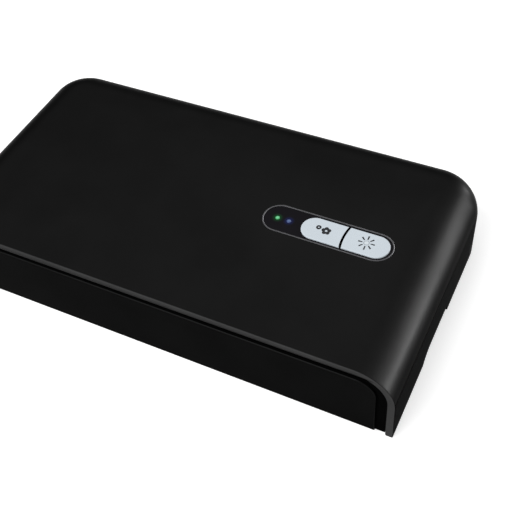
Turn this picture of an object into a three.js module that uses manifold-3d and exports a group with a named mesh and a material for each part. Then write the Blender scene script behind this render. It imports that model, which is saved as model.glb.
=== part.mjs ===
import * as THREE from 'three';
import { mergeVertices } from 'three/addons/utils/BufferGeometryUtils.js';
import Module from 'manifold-3d';

// UV-C sanitizer case: a back-hinged lid shell that covers a base with a reflective tray.
// Millimetres. X runs to the right, Y to the back, Z up.
// The origin is the middle of the footprint, on the surface that the feet stand on.

const wasm = await Module();
wasm.setup();

// Case
const caseWidth = 220;
const caseDepth = 120;
const caseHeight = 38;
const edgeRadius = 16;
const cornerRadius = 20;
const footLift = 1;

// Lid shell
const lidFootRise = 1;
const lidTopWall = 2.6;
const lidSideWall = 3.2;
const lidGap = 0.5;
const lowRearLength = 24;
const notchFromFront = 36;
const notchLength = 31;
const notchHeight = 4.2;
const notchFrontRamp = 9;
const notchBackRamp = 3;
const notchBendShare = 1 / 3;

// Hinge
const hingeRise = 9;
const barrelRadius = 3.2;
const pinRadius = 1.2;
const pinClearance = 0.3;
const hingeFromSide = 45;
const lidKnuckleLength = 14;
const baseKnuckleLength = 8;
const knuckleGap = 0.4;

// Base shell
const splitRise = 21.5;
const baseFloor = 2.2;
const baseWall = 2.2;
const frontRecess = 1.6;
const panelThickness = 1.2;
const panelSideMargin = 4.4;
const panelTopMargin = 3.5;
const panelFootMargin = 0.8;
const glueGap = 0.15;

// Feet
const footRadius = 6;
const footPocketDepth = 0.8;
const footPocketClearance = 0.2;
const footFromSide = 22;
const footFromFront = 13;
const footFromBack = 17;

// Chamber, tray and liner
const chamberMargin = 16;
const chamberFromFront = 15;
const chamberFromBack = 16;
const chamberCorner = 10;
const chamberHeight = 17.1;
const trayFloorRise = 11.5;
const traySkin = 1.2;
const flangeThickness = 2;
const partGap = 0.4;
const lidSplitGap = 0.7;
const ribHeight = 1.4;
const ribWidth = 1.2;
const ribLength = 150;
const ribSpacing = 40;

// Light seal
const sealInset = 9.4;
const sealFromFront = 8.9;
const sealWidth = 2;
const sealHeight = 0.85;
const sealDepth = 0.6;
const sealClearance = 0.2;

// Control pod
const podFromRight = 51.4;
const podFromFront = 58.1;
const podLength = 57.6;
const podWidth = 15;
const podClearance = 0.15;
const bezelProud = 0.25;
const bezelWall = 0.6;
const bezelFlangeWidth = 1.2;
const bezelFlangeThickness = 0.9;
const bezelSeatGap = 0.2;
const bezelLedge = 1.7;
const plateGap = 0.1;
const plateSink = 0.1;

// Buttons and indicators
const buttonsLength = 38.4;
const buttonsFromRight = 43.4;
const buttonWidth = 11.8;
const buttonProud = 0.5;
const buttonTravel = 0.5;
const buttonStopGap = 0.1;
const buttonSlit = 0.6;
const buttonBulge = 0.65;
const buttonClearance = 0.15;
const buttonBevel = 0.3;
const stemInset = 1;
const lugWidth = 4;
const lugHeight = 0.5;
const lugReach = 0.9;
const lugGap = 0.2;
const greenFromPodEnd = 6.45;
const indicatorSpacing = 5.2;
const indicatorRadius = 1;
const indicatorClearance = 0.15;

// Control board
const boardThickness = 1;
const controlBoardLength = 60;
const controlBoardWidth = 27;
const controlBossInset = 3;
const controlBossRadius = 2.4;
const switchSize = 5.2;
const switchHeight = 1.1;
const switchBodyHeight = 0.7;
const switchKeyRadius = 1.4;
const indicatorChipSize = 1.6;
const indicatorChipHeight = 0.6;

// Screws
const screwHeadRadius = 2;
const screwHeadHeight = 0.8;
const screwShankRadius = 0.9;
const screwClearance = 0.3;
const screwSlotWidth = 0.5;
const screwSlotDepth = 0.4;
const boardScrewLength = 4;
const linerScrewLength = 6;
const baseScrewLength = 17;
const screwFromSide = 10.4;
const screwFromFront = 14;
const screwFromBack = 28;
const bossRadius = 2.8;
const trayBossLength = 7;
const bossSeatGap = 0.3;
const switchSeatGap = 0.1;
const headSink = 0.3;
const screwBlindGap = 0.8;

// Emitter boards and their windows
const emitterSize = 3.5;
const emitterHeight = 0.9;
const emitterLensRadius = 1.2;
const emitterLensHeight = 0.2;
const emitterCount = 3;
const emitterBoardWidth = 14;
const emitterBoardOverhang = 20;
const emitterBoardFromChamberSide = 19;
const emitterBoardFromControlBoard = 9;
const emitterWindowGap = 0.15;
const windowWidth = 9;
const windowOverhang = 7;
const windowThickness = 0.65;
const windowLip = 1;
const windowLipThickness = 0.4;
const windowClearance = 0.2;
const stakeRadius = 0.9;
const stakeCollarRadius = 1.8;
const stakeClearance = 0.25;
const stakeInset = 3;
const stakeHead = 0.4;

// Main board and its socket
const mainBoardWidth = 80;
const mainBoardDepth = 37;
const mainBoardRise = 0.6;
const mainBoardPostInset = 5;
const boardGap = 0.15;
const socketWidth = 9;
const socketHeight = 3.2;
const socketDepth = 7.4;
const socketWall = 0.4;
const socketTongueHeight = 0.7;
const socketTongueSink = 1;
const socketBackWall = 1;
const socketFromBack = 0.5;
const socketClearance = 0.3;
const socketPocketMargin = 2;
const socketWallLeft = 2.4;
const mainBoardTongueWidth = 11;
const mainBoardTongueFromBack = 3;
const mainBoardStakeRadius = 2;
const chipWidths = [9, 7];
const chipHeight = 1.4;
const chipShares = [-0.55, 0.2];
const coilRadius = 4;
const coilHeight = 3;
const coilShare = 0.65;

// Aroma cup, pad and heater
const aromaFromRight = 30;
const aromaFromFront = 27.5;
const aromaRadius = 8;
const aromaRimWidth = 1.2;
const aromaRimThickness = 0.6;
const aromaWall = 1;
const aromaDepth = 6;
const aromaPadThickness = 4.4;
const aromaPadClearance = 0.2;
const aromaHoleClearance = 0.25;
const heaterRadius = 6;
const heaterThickness = 1;
const heaterPostRadius = 3;

// Magnets and the lid sensor
const magnetFromSide = 50;
const magnetRadius = 3;
const magnetThickness = 2;
const magnetClearance = 0.2;
const magnetSkin = 1.1;
const magnetCupWall = 1;
const magnetCupLip = 0.5;
const flangeMiddleFromFront = 9.9;
const sensorFromMagnet = 14;
const sensorBoardLength = 12;
const sensorBoardWidth = 6;
const sensorChipSize = 3;
const sensorChipHeight = 1.2;

// Leads
const leadRadius = 0.7;
const leadClearance = 0.4;
const leadKnuckleFromMiddle = 16;
const leadKnuckleLength = 9;
const leadChannelDepth = 1.9;

// Drawing
const overrun = 1;
const arcSteps = 4;
const bevelSteps = 7;
const capBevelSteps = 2;
const roundSides = 18;
const smallSides = 10;
const leadStepsPerPoint = 3;
const leadSides = 6;
const weldDistance = 0.0001;

// Levels, from the table up
const caseBottom = footLift;
const caseTop = caseBottom + caseHeight;
const lidFoot = caseBottom + lidFootRise;
const lidCeiling = caseTop - lidTopWall;
const hingeZ = caseBottom + hingeRise;
const splitZ = caseBottom + splitRise;
const floorTop = caseBottom + baseFloor;
const trayFloorTop = caseBottom + trayFloorRise;
const trayFloorUnder = trayFloorTop - traySkin;
const linerFlangeUnder = splitZ + lidSplitGap;
const linerCeiling = trayFloorTop + chamberHeight;
const linerTop = linerCeiling + traySkin;
const bezelFlangeTop = lidCeiling - bezelSeatGap;
const bezelFlangeUnder = bezelFlangeTop - bezelFlangeThickness;
const stemUnder = bezelFlangeUnder - lugGap - lugHeight;
const switchTop = stemUnder - buttonTravel - buttonStopGap;
const controlBoardTop = switchTop - switchHeight;
const controlBoardUnder = controlBoardTop - boardThickness;
const mainBoardUnder = floorTop + mainBoardRise;
const mainBoardTop = mainBoardUnder + boardThickness;

// Places in plan
const rightX = caseWidth / 2;
const frontY = -(caseDepth + barrelRadius) / 2;
const backY = frontY + caseDepth;
const hingeY = backY;
const nestInset = lidSideWall + lidGap;
const baseInnerInset = nestInset + baseWall;
const baseFaceY = frontY + frontRecess;
const baseWallInnerY = baseFaceY + baseWall;
const lowSideEndY = backY - lowRearLength;
const podX = rightX - podFromRight;
const podY = frontY + podFromFront;
const buttonsX = rightX - buttonsFromRight;
const chamberX = rightX - chamberMargin;
const chamberFrontY = frontY + chamberFromFront;
const chamberBackY = backY - chamberFromBack;
const chamberMiddleY = (chamberFrontY + chamberBackY) / 2;
const screwX = rightX - screwFromSide;
const screwYs = [frontY + screwFromFront, backY - screwFromBack];
const sides = [-1, 1];

// Levels and places of the pieces that hang on the tray and the liner
const linerFlangeTop = linerFlangeUnder + flangeThickness;
const linerScrewHeadUnder = linerFlangeUnder + headSink;
const linerScrewHeadTop = linerScrewHeadUnder + screwHeadHeight + boardGap;
const screwPlaces = fourPlaces(screwX, screwYs);
const baseScrewHeadUnder = caseBottom + headSink;
const trayBossUnder = splitZ - flangeThickness - trayBossLength;
const magnetCupRadius = magnetRadius + magnetClearance + magnetCupWall;
const magnetX = rightX - magnetFromSide;
const magnetPlaces = sides.map((side) => [side * magnetX, frontY + flangeMiddleFromFront]);
const trayMagnetTop = splitZ - magnetSkin - glueGap;
const trayMagnetUnder = trayMagnetTop - magnetThickness - magnetCupLip;
const linerMagnetBase = linerFlangeUnder + magnetSkin + glueGap;
const linerMagnetTop = linerMagnetBase + magnetThickness + magnetCupLip;
const emitterBoardLeftX = emitterBoardFromChamberSide - chamberX;
const emitterBoardRightX = podX - controlBoardLength / 2 - emitterBoardFromControlBoard;
const emitterBoardLength = emitterBoardRightX - emitterBoardLeftX;
const emitterReach = emitterBoardLength - emitterBoardOverhang;
const emitterPitch = emitterReach / (emitterCount - 1);
const windowLength = emitterReach + windowOverhang;
const lidEmitterX = (emitterBoardLeftX + emitterBoardRightX) / 2;
const lidEmitterUnder = linerTop + emitterWindowGap + emitterHeight + boardGap;
const lidEmitterTop = lidEmitterUnder + boardThickness;
const baseEmitterTop = trayFloorUnder - emitterWindowGap - emitterHeight - boardGap;
const baseEmitterUnder = baseEmitterTop - boardThickness;
const aromaX = rightX - aromaFromRight;
const aromaY = frontY + aromaFromFront;
const aromaRimUnder = trayFloorTop + glueGap;
const aromaUnder = aromaRimUnder - aromaDepth;
const heaterUnder = aromaUnder - boardGap - heaterThickness;
const leadBoreRadius = leadRadius + leadClearance;

// Solids from three.js geometry, and the way back

function toSolid(geometry) {
  const bare = geometry.clone();
  bare.deleteAttribute('normal');
  bare.deleteAttribute('uv');
  const merged = mergeVertices(bare, weldDistance);
  const corners = merged.index.array;
  const kept = [];
  for (let i = 0; i < corners.length; i += 3) {
    const [a, b, c] = [corners[i], corners[i + 1], corners[i + 2]];
    if (a !== b && b !== c && c !== a) kept.push(a, b, c);
  }
  const vertProperties = Float32Array.from(merged.attributes.position.array);
  const triVerts = Uint32Array.from(kept);
  return new wasm.Manifold(new wasm.Mesh({ numProp: 3, vertProperties, triVerts }));
}

function toGeometry(solid) {
  const mesh = solid.getMesh();
  const geometry = new THREE.BufferGeometry();
  geometry.setAttribute('position', new THREE.BufferAttribute(Float32Array.from(mesh.vertProperties), 3));
  geometry.setIndex(new THREE.BufferAttribute(Uint32Array.from(mesh.triVerts), 1));
  geometry.computeVertexNormals();
  return geometry;
}

function join(...solids) {
  return solids.reduce((whole, solid) => whole.add(solid));
}

function cut(solid, ...tools) {
  return tools.reduce((rest, tool) => rest.subtract(tool), solid);
}

// A box between two corners
function block(x0, x1, y0, y1, z0, z1) {
  const geometry = new THREE.BoxGeometry(x1 - x0, y1 - y0, z1 - z0);
  geometry.translate((x0 + x1) / 2, (y0 + y1) / 2, (z0 + z1) / 2);
  return toSolid(geometry);
}

// A box about a middle point in plan
function pad(x, y, width, depth, z0, z1) {
  return block(x - width / 2, x + width / 2, y - depth / 2, y + depth / 2, z0, z1);
}

function extruded(shape, depth, curveSegments) {
  return new THREE.ExtrudeGeometry(shape, { depth, curveSegments, bevelEnabled: false });
}

// A plan shape raised from one level to another
function raised(shape, z0, z1, steps = arcSteps) {
  const geometry = extruded(shape, z1 - z0, steps);
  geometry.translate(0, 0, z0);
  return toSolid(geometry);
}

// A shape drawn in X and Z, carried along Y
function carriedAlongY(shape, y0, y1, steps = arcSteps) {
  const geometry = extruded(shape, y1 - y0, steps);
  geometry.rotateX(Math.PI / 2);
  geometry.translate(0, y1, 0);
  return toSolid(geometry);
}

// A shape drawn in Y and Z, carried along X
function carriedAlongX(shape, x0, x1, steps = arcSteps) {
  const geometry = extruded(shape, x1 - x0, steps);
  const turn = new THREE.Matrix4().makeBasis(
    new THREE.Vector3(0, 1, 0),
    new THREE.Vector3(0, 0, 1),
    new THREE.Vector3(1, 0, 0),
  );
  geometry.applyMatrix4(turn);
  geometry.translate(x0, 0, 0);
  return toSolid(geometry);
}

// An upright round post
function post(x, y, radius, z0, z1, roundness = roundSides) {
  const geometry = new THREE.CylinderGeometry(radius, radius, z1 - z0, roundness);
  geometry.rotateX(Math.PI / 2);
  geometry.translate(x, y, (z0 + z1) / 2);
  return toSolid(geometry);
}

// A round bar that lies along X
function bar(x0, x1, y, z, radius, roundness = roundSides) {
  const geometry = new THREE.CylinderGeometry(radius, radius, x1 - x0, roundness);
  geometry.rotateZ(Math.PI / 2);
  geometry.translate((x0 + x1) / 2, y, z);
  return toSolid(geometry);
}

// A round lead with flat ends that follows points, each [x, y, z]
function lead(points, radius) {
  const places = points.map(([x, y, z]) => new THREE.Vector3(x, y, z));
  const curve = new THREE.CatmullRomCurve3(places, false, 'centripetal');
  const section = new THREE.Shape();
  section.absarc(0, 0, radius, 0, 2 * Math.PI);
  const geometry = new THREE.ExtrudeGeometry(section, {
    steps: leadStepsPerPoint * points.length,
    curveSegments: leadSides / 2,
    extrudePath: curve,
    bevelEnabled: false,
  });
  return toSolid(geometry);
}

// Outlines

// The plan of the case, drawn in by inset: square at its front, rounded at its back
function casePlan(inset, front) {
  const left = -rightX + inset;
  const right = rightX - inset;
  const back = backY - inset;
  const radius = cornerRadius - inset;
  const shape = new THREE.Shape();
  shape.moveTo(left, front);
  shape.lineTo(right, front);
  shape.lineTo(right, back - radius);
  shape.absarc(right - radius, back - radius, radius, 0, Math.PI / 2);
  shape.lineTo(left + radius, back);
  shape.absarc(left + radius, back - radius, radius, Math.PI / 2, Math.PI);
  shape.closePath();
  return shape;
}

// A rectangle with four round corners
function roundedPlan(x0, x1, y0, y1, radius) {
  const shape = new THREE.Shape();
  shape.moveTo(x0 + radius, y0);
  shape.lineTo(x1 - radius, y0);
  shape.absarc(x1 - radius, y0 + radius, radius, -Math.PI / 2, 0);
  shape.lineTo(x1, y1 - radius);
  shape.absarc(x1 - radius, y1 - radius, radius, 0, Math.PI / 2);
  shape.lineTo(x0 + radius, y1);
  shape.absarc(x0 + radius, y1 - radius, radius, Math.PI / 2, Math.PI);
  shape.lineTo(x0, y0 + radius);
  shape.absarc(x0 + radius, y0 + radius, radius, Math.PI, 1.5 * Math.PI);
  shape.closePath();
  return shape;
}

// The chamber's plan, grown outwards by margin
function chamberPlan(margin) {
  const x = chamberX + margin;
  return roundedPlan(-x, x, chamberFrontY - margin, chamberBackY + margin, chamberCorner + margin);
}

// A long oval about a middle point
function oval(x, y, length, width) {
  const radius = width / 2;
  const reach = length / 2 - radius;
  const shape = new THREE.Shape();
  shape.absarc(x + reach, y, radius, -Math.PI / 2, Math.PI / 2);
  shape.absarc(x - reach, y, radius, Math.PI / 2, 1.5 * Math.PI);
  shape.closePath();
  return shape;
}

// The front view of the case, drawn in by insets: round at its top corners, square at its foot
function frontArch(side, top, foot, sideInset, topInset, radius) {
  const x = side - sideInset;
  const z = top - topInset;
  const shape = new THREE.Shape();
  shape.moveTo(-x, foot);
  shape.lineTo(x, foot);
  shape.lineTo(x, z - radius);
  shape.absarc(x - radius, z - radius, radius, 0, Math.PI / 2);
  shape.lineTo(-x + radius, z);
  shape.absarc(-x + radius, z - radius, radius, Math.PI / 2, Math.PI);
  shape.closePath();
  return shape;
}

// The upturned tub of the lid: a case plan whose top edge is rounded
function roundedTub(inset, front, top, foot, radius) {
  const geometry = new THREE.ExtrudeGeometry(casePlan(inset, front - radius - overrun), {
    depth: top - foot - radius,
    bevelEnabled: true,
    bevelThickness: radius,
    bevelSize: radius,
    bevelOffset: -radius,
    bevelSegments: bevelSteps,
    curveSegments: arcSteps,
  });
  geometry.translate(0, 0, foot);
  return toSolid(geometry);
}

// A screw with its head's flat face down at level 0, a cross slot in it, and the shank upwards
function screwSolid(length) {
  const profile = [
    new THREE.Vector2(0, 0),
    new THREE.Vector2(screwHeadRadius, 0),
    new THREE.Vector2(screwHeadRadius, screwHeadHeight),
    new THREE.Vector2(screwShankRadius, screwHeadHeight),
    new THREE.Vector2(screwShankRadius, screwHeadHeight + length),
    new THREE.Vector2(0, screwHeadHeight + length),
  ];
  const geometry = new THREE.LatheGeometry(profile, smallSides);
  geometry.rotateX(Math.PI / 2);
  const reach = screwHeadRadius;
  const slotA = pad(0, 0, reach, screwSlotWidth, -overrun, screwSlotDepth);
  const slotB = pad(0, 0, screwSlotWidth, reach, -overrun, screwSlotDepth);
  return cut(toSolid(geometry), slotA, slotB);
}

// The four corners of a rectangle about a middle point
function fourPlacesAround(x, y, halfX, halfY) {
  return sides.flatMap((a) => sides.map((b) => [x + a * halfX, y + b * halfY]));
}

// Left and right places at each of some depths
function fourPlaces(x, ys) {
  return sides.flatMap((side) => ys.map((y) => [side * x, y]));
}

// Hinge: where the knuckles of each hinge lie along X

const hingeXs = sides.map((side) => side * (rightX - hingeFromSide));
const hingeReach = lidKnuckleLength / 2 + knuckleGap + baseKnuckleLength;
const leadKnuckleX = -leadKnuckleFromMiddle;
const leadKnuckleSplit = knuckleGap / 2;

function lidKnuckleSpans() {
  const spans = hingeXs.map((x) => [x - lidKnuckleLength / 2, x + lidKnuckleLength / 2]);
  spans.push([leadKnuckleX + leadKnuckleSplit, leadKnuckleX + leadKnuckleSplit + leadKnuckleLength]);
  return spans;
}

function baseKnuckleSpans() {
  const inner = lidKnuckleLength / 2 + knuckleGap;
  const spans = hingeXs.flatMap((x) => [[x - hingeReach, x - inner], [x + inner, x + hingeReach]]);
  spans.push([leadKnuckleX - leadKnuckleSplit - leadKnuckleLength, leadKnuckleX - leadKnuckleSplit]);
  return spans;
}

function barrels(spans, radius, extra) {
  return join(...spans.map(([x0, x1]) => bar(x0 - extra, x1 + extra, hingeY, hingeZ, radius)));
}

// The pins' bores and the leads' bore through every knuckle
function hingeBores() {
  const boreRadius = pinRadius + pinClearance;
  const pinReach = hingeReach + knuckleGap;
  const pins = hingeXs.map((x) => bar(x - pinReach, x + pinReach, hingeY, hingeZ, boreRadius, smallSides));
  const reach = leadKnuckleLength / 2 + overrun;
  const leads = bar(leadKnuckleX - reach, leadKnuckleX + reach, hingeY, hingeZ, leadBoreRadius, smallSides);
  return join(...pins, leads);
}

function hingePin() {
  const geometry = new THREE.CylinderGeometry(pinRadius, pinRadius, 2 * hingeReach, smallSides);
  geometry.rotateZ(Math.PI / 2);
  return geometry;
}

// Lid shell

function notchCutter(side) {
  const foot = -overrun;
  const start = frontY + notchFromFront;
  const end = start + notchLength;
  const roof = lidFoot + notchHeight;
  const shape = new THREE.Shape();
  shape.moveTo(start, foot);
  shape.lineTo(end, foot);
  shape.lineTo(end, lidFoot);
  shape.quadraticCurveTo(end, roof, end - notchBackRamp, roof);
  shape.lineTo(start + notchFrontRamp, roof);
  shape.quadraticCurveTo(start + notchFrontRamp * notchBendShare, roof, start, lidFoot);
  shape.closePath();
  const inner = rightX - lidSideWall - lidGap / 2;
  const x0 = side > 0 ? inner : -rightX - overrun;
  const x1 = side > 0 ? rightX + overrun : -inner;
  return carriedAlongX(shape, x0, x1);
}

const controlBossPlaces = fourPlacesAround(
  podX,
  podY,
  controlBoardLength / 2 - controlBossInset,
  controlBoardWidth / 2 - controlBossInset,
);

function lidShell() {
  const outer = roundedTub(0, frontY, caseTop, caseBottom - edgeRadius, edgeRadius);
  const innerRadius = edgeRadius - lidSideWall;
  const inner = roundedTub(lidSideWall, frontY, lidCeiling, caseBottom - edgeRadius, innerRadius);
  const reach = caseWidth;
  const beforeFront = block(-reach, reach, frontY - reach, frontY, -reach, reach);
  const underFoot = block(-reach, reach, -reach, reach, -reach, lidFoot);
  const lowRear = block(-reach, reach, lowSideEndY, reach, -reach, hingeZ + lidGap / 2);
  const knuckleRoom = barrels(baseKnuckleSpans(), barrelRadius + knuckleGap, knuckleGap);
  const podHole = raised(
    oval(podX, podY, podLength + 2 * podClearance, podWidth + 2 * podClearance),
    lidCeiling - overrun,
    caseTop + overrun,
    bevelSteps,
  );
  const notches = sides.map(notchCutter);
  const shell = cut(outer, inner, beforeFront, underFoot, lowRear, knuckleRoom, podHole, ...notches);
  const knuckles = barrels(lidKnuckleSpans(), barrelRadius, 0);
  const boardBosses = controlBossPlaces.map(([x, y]) => {
    return post(x, y, controlBossRadius, controlBoardTop + boardGap, lidCeiling + lidTopWall / 2, smallSides);
  });
  const linerBosses = screwPlaces.map(([x, y]) => {
    return post(x, y, bossRadius, linerFlangeTop + bossSeatGap, lidCeiling + lidTopWall / 2, smallSides);
  });
  const boardBores = controlBossPlaces.map(([x, y]) => {
    const top = controlBoardUnder + boardScrewLength + screwBlindGap;
    return post(x, y, screwShankRadius + screwClearance, controlBoardTop, top, smallSides);
  });
  const linerBores = screwPlaces.map(([x, y]) => {
    const top = linerScrewHeadTop + linerScrewLength + screwBlindGap;
    return post(x, y, screwShankRadius + screwClearance, linerFlangeTop, top, smallSides);
  });
  const bosses = join(...boardBosses, ...linerBosses).intersect(outer);
  const body = join(shell, knuckles, bosses);
  return cut(body, hingeBores(), ...boardBores, ...linerBores, lead(lidLeadRoute(overrun), leadBoreRadius));
}

// Base shell

function footPlaces() {
  const x = rightX - footFromSide;
  return fourPlaces(x, [frontY + footFromFront, backY - footFromBack]);
}

function socketPlace() {
  const y1 = backY - socketFromBack;
  const z0 = mainBoardTop + boardGap;
  return { y0: y1 - socketDepth, y1, z0, z1: z0 + socketHeight };
}

function baseShell() {
  const tub = raised(casePlan(nestInset, baseFaceY), caseBottom, splitZ);
  const skirtFront = lowSideEndY + lidGap;
  const skirt = raised(casePlan(0, skirtFront), caseBottom, hingeZ - lidGap / 2);
  const archRadius = edgeRadius - lidSideWall - lidGap;
  const arch = frontArch(rightX, lidCeiling, caseBottom, nestInset, lidGap, archRadius);
  const frontWall = carriedAlongY(arch, baseFaceY, baseWallInnerY);
  const hollow = raised(casePlan(baseInnerInset, baseWallInnerY), floorTop, splitZ + overrun);
  const knuckleRoom = barrels(lidKnuckleSpans(), barrelRadius + knuckleGap, knuckleGap);

  const socket = socketPlace();
  const middleZ = (socket.z0 + socket.z1) / 2;
  const pocketHalf = socketWidth / 2 + socketPocketMargin;
  const pocketTop = socket.z1 + socketClearance;
  const backWallY = backY - socketWallLeft;
  const pocketFrontY = backY - baseInnerInset - overrun;
  const pocket = block(-pocketHalf, pocketHalf, pocketFrontY, backWallY, floorTop, pocketTop);
  const portWidth = socketWidth + 2 * socketClearance;
  const portShape = portOutline(portWidth, socketHeight + 2 * socketClearance, middleZ);
  const port = carriedAlongY(portShape, backWallY - overrun, backY + overrun);

  const posts = screwPlaces.map(([x, y]) => {
    return post(x, y, bossRadius, caseBottom + baseFloor / 2, trayBossUnder - bossSeatGap, smallSides);
  });
  const boardPosts = mainBoardPostPlaces().flatMap(([x, y]) => [
    post(x, y, mainBoardStakeRadius, caseBottom + baseFloor / 2, mainBoardUnder - boardGap, smallSides),
    post(x, y, stakeRadius, caseBottom + baseFloor / 2, mainBoardTop + stakeHead, smallSides),
  ]);
  const heaterPost = post(
    aromaX,
    aromaY,
    heaterPostRadius,
    caseBottom + baseFloor / 2,
    heaterUnder - boardGap,
    smallSides,
  );
  const footPockets = footPlaces().map(([x, y]) => {
    const radius = footRadius + footPocketClearance;
    return post(x, y, radius, caseBottom - overrun, caseBottom + footPocketDepth);
  });
  const headPockets = screwPlaces.map(([x, y]) => {
    const radius = screwHeadRadius + screwClearance;
    const top = baseScrewHeadUnder + screwHeadHeight + screwClearance;
    return post(x, y, radius, caseBottom - overrun, top, smallSides);
  });
  const screwBores = screwPlaces.map(([x, y]) => {
    return post(x, y, screwShankRadius + screwClearance, caseBottom, splitZ, smallSides);
  });
  const solid = join(tub, skirt, frontWall);
  const hollowed = cut(solid, hollow, knuckleRoom, pocket, port);
  const knuckles = barrels(baseKnuckleSpans(), barrelRadius, 0);
  const body = join(hollowed, knuckles, ...posts, ...boardPosts, heaterPost);
  const boresBelow = [...footPockets, ...headPockets, ...screwBores];
  return cut(body, hingeBores(), ...boresBelow, lead(baseLeadRoute(overrun), leadBoreRadius));
}

// The rounded slot of the socket's port
function portOutline(width, height, z) {
  const radius = height / 2;
  const reach = width / 2 - radius;
  const shape = new THREE.Shape();
  shape.absarc(reach, z, radius, -Math.PI / 2, Math.PI / 2);
  shape.absarc(-reach, z, radius, Math.PI / 2, 1.5 * Math.PI);
  shape.closePath();
  return shape;
}

// The inset plate on the front of the base
function frontPanel() {
  const sideInset = lidSideWall + panelSideMargin;
  const radius = edgeRadius - sideInset;
  const foot = caseBottom + panelFootMargin;
  const arch = frontArch(rightX, lidCeiling, foot, sideInset, panelTopMargin, radius);
  return carriedAlongY(arch, baseFaceY - glueGap - panelThickness, baseFaceY - glueGap);
}

// Feet

function rubberFoot() {
  const height = footLift + footPocketDepth - footPocketClearance;
  const geometry = new THREE.CylinderGeometry(footRadius, footRadius, height, roundSides);
  geometry.rotateX(Math.PI / 2);
  geometry.translate(0, 0, height / 2);
  return geometry;
}

// Chamber tray

function chamberTray() {
  const frontEdge = baseWallInnerY + partGap;
  const flangeUnder = splitZ - flangeThickness;
  const flange = raised(casePlan(baseInnerInset + partGap, frontEdge), flangeUnder, splitZ);
  const walls = raised(chamberPlan(traySkin), trayFloorUnder, splitZ);
  const hollow = raised(chamberPlan(0), trayFloorTop, splitZ + overrun);
  const ribs = sides.map((side) => {
    const y = chamberMiddleY + (side * ribSpacing) / 2;
    return pad(0, y, ribLength, ribWidth, trayFloorTop - traySkin / 2, trayFloorTop + ribHeight);
  });
  const screwBosses = screwPlaces.map(([x, y]) => {
    return post(x, y, bossRadius, trayBossUnder, flangeUnder + flangeThickness / 2, smallSides);
  });
  const screwBores = screwPlaces.map(([x, y]) => {
    const top = baseScrewHeadUnder + screwHeadHeight + baseScrewLength + screwBlindGap;
    return post(x, y, screwShankRadius + screwClearance, trayBossUnder - overrun, top, smallSides);
  });
  const cups = magnetPlaces.map(([x, y]) => {
    return post(x, y, magnetCupRadius, trayMagnetUnder, flangeUnder + flangeThickness / 2, smallSides);
  });
  const cupHollows = magnetPlaces.map(([x, y]) => {
    const radius = magnetRadius + magnetClearance;
    return post(x, y, radius, trayMagnetUnder - overrun, splitZ - magnetSkin, smallSides);
  });
  const aromaHole = post(aromaX, aromaY, aromaRadius + aromaHoleClearance, trayFloorUnder - overrun, splitZ);
  const grooveOuter = raised(sealPlan(sealInset - sealClearance), splitZ - sealDepth, splitZ + overrun);
  const islandPlan = sealPlan(sealInset + sealWidth + sealClearance);
  const grooveInner = raised(islandPlan, splitZ - sealDepth - overrun, splitZ + 2 * overrun);
  const stakes = stakePlaces(0).flatMap(([x, y]) => [
    post(x, y, stakeCollarRadius, baseEmitterTop + boardGap, trayFloorUnder + traySkin / 2, smallSides),
    post(x, y, stakeRadius, baseEmitterUnder - stakeHead, trayFloorUnder + traySkin / 2, smallSides),
  ]);
  const tub = cut(join(flange, walls, ...screwBosses, ...cups), hollow, cut(grooveOuter, grooveInner));
  const body = cut(join(tub, ...ribs, ...stakes), aromaHole, ...screwBores, ...cupHollows);
  return cut(body, ...windowCutters(0, trayFloorUnder, trayFloorTop));
}

// The opening for a window, with a lip that carries the window from below
function windowCutters(x, under, top) {
  const length = windowLength + 2 * windowClearance;
  const width = windowWidth + 2 * windowClearance;
  const through = pad(x, chamberMiddleY, length - 2 * windowLip, width - 2 * windowLip, under - overrun, top);
  const rebate = pad(x, chamberMiddleY, length, width, under + windowLipThickness, top + overrun);
  return [through, rebate];
}

function quartzWindow() {
  return new THREE.BoxGeometry(windowLength, windowWidth, windowThickness);
}

// The path that the light seal follows, drawn in by inset from the case's sides
function sealPlan(inset) {
  return casePlan(inset, frontY + sealFromFront + inset - sealInset);
}

function lightSeal() {
  const under = splitZ - sealDepth + glueGap;
  const top = under + sealHeight;
  const outer = raised(sealPlan(sealInset), under, top);
  const inner = raised(sealPlan(sealInset + sealWidth), under - overrun, top + overrun);
  return cut(outer, inner);
}

// Emitter boards: a strip with emitters on one face, staked to the tray or the liner

function stakePlaces(x) {
  return sides.map((side) => [x + side * (emitterBoardLength / 2 - stakeInset), chamberMiddleY]);
}

function emitterBoard(x, under) {
  const board = pad(x, chamberMiddleY, emitterBoardLength, emitterBoardWidth, under, under + boardThickness);
  const holes = stakePlaces(x).map(([hx, hy]) => {
    const radius = stakeRadius + stakeClearance;
    return post(hx, hy, radius, under - overrun, under + boardThickness + overrun, smallSides);
  });
  return cut(board, ...holes);
}

// One emitter with its round lens, facing up
function emitter() {
  const chip = pad(0, 0, emitterSize, emitterSize, 0, emitterHeight - emitterLensHeight);
  const lens = post(0, 0, emitterLensRadius, 0, emitterHeight, smallSides);
  return join(chip, lens);
}

function emitterXs(x) {
  const middle = (emitterCount - 1) / 2;
  return Array.from({ length: emitterCount }, (unused, i) => x + (i - middle) * emitterPitch);
}

// Lid liner

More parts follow.
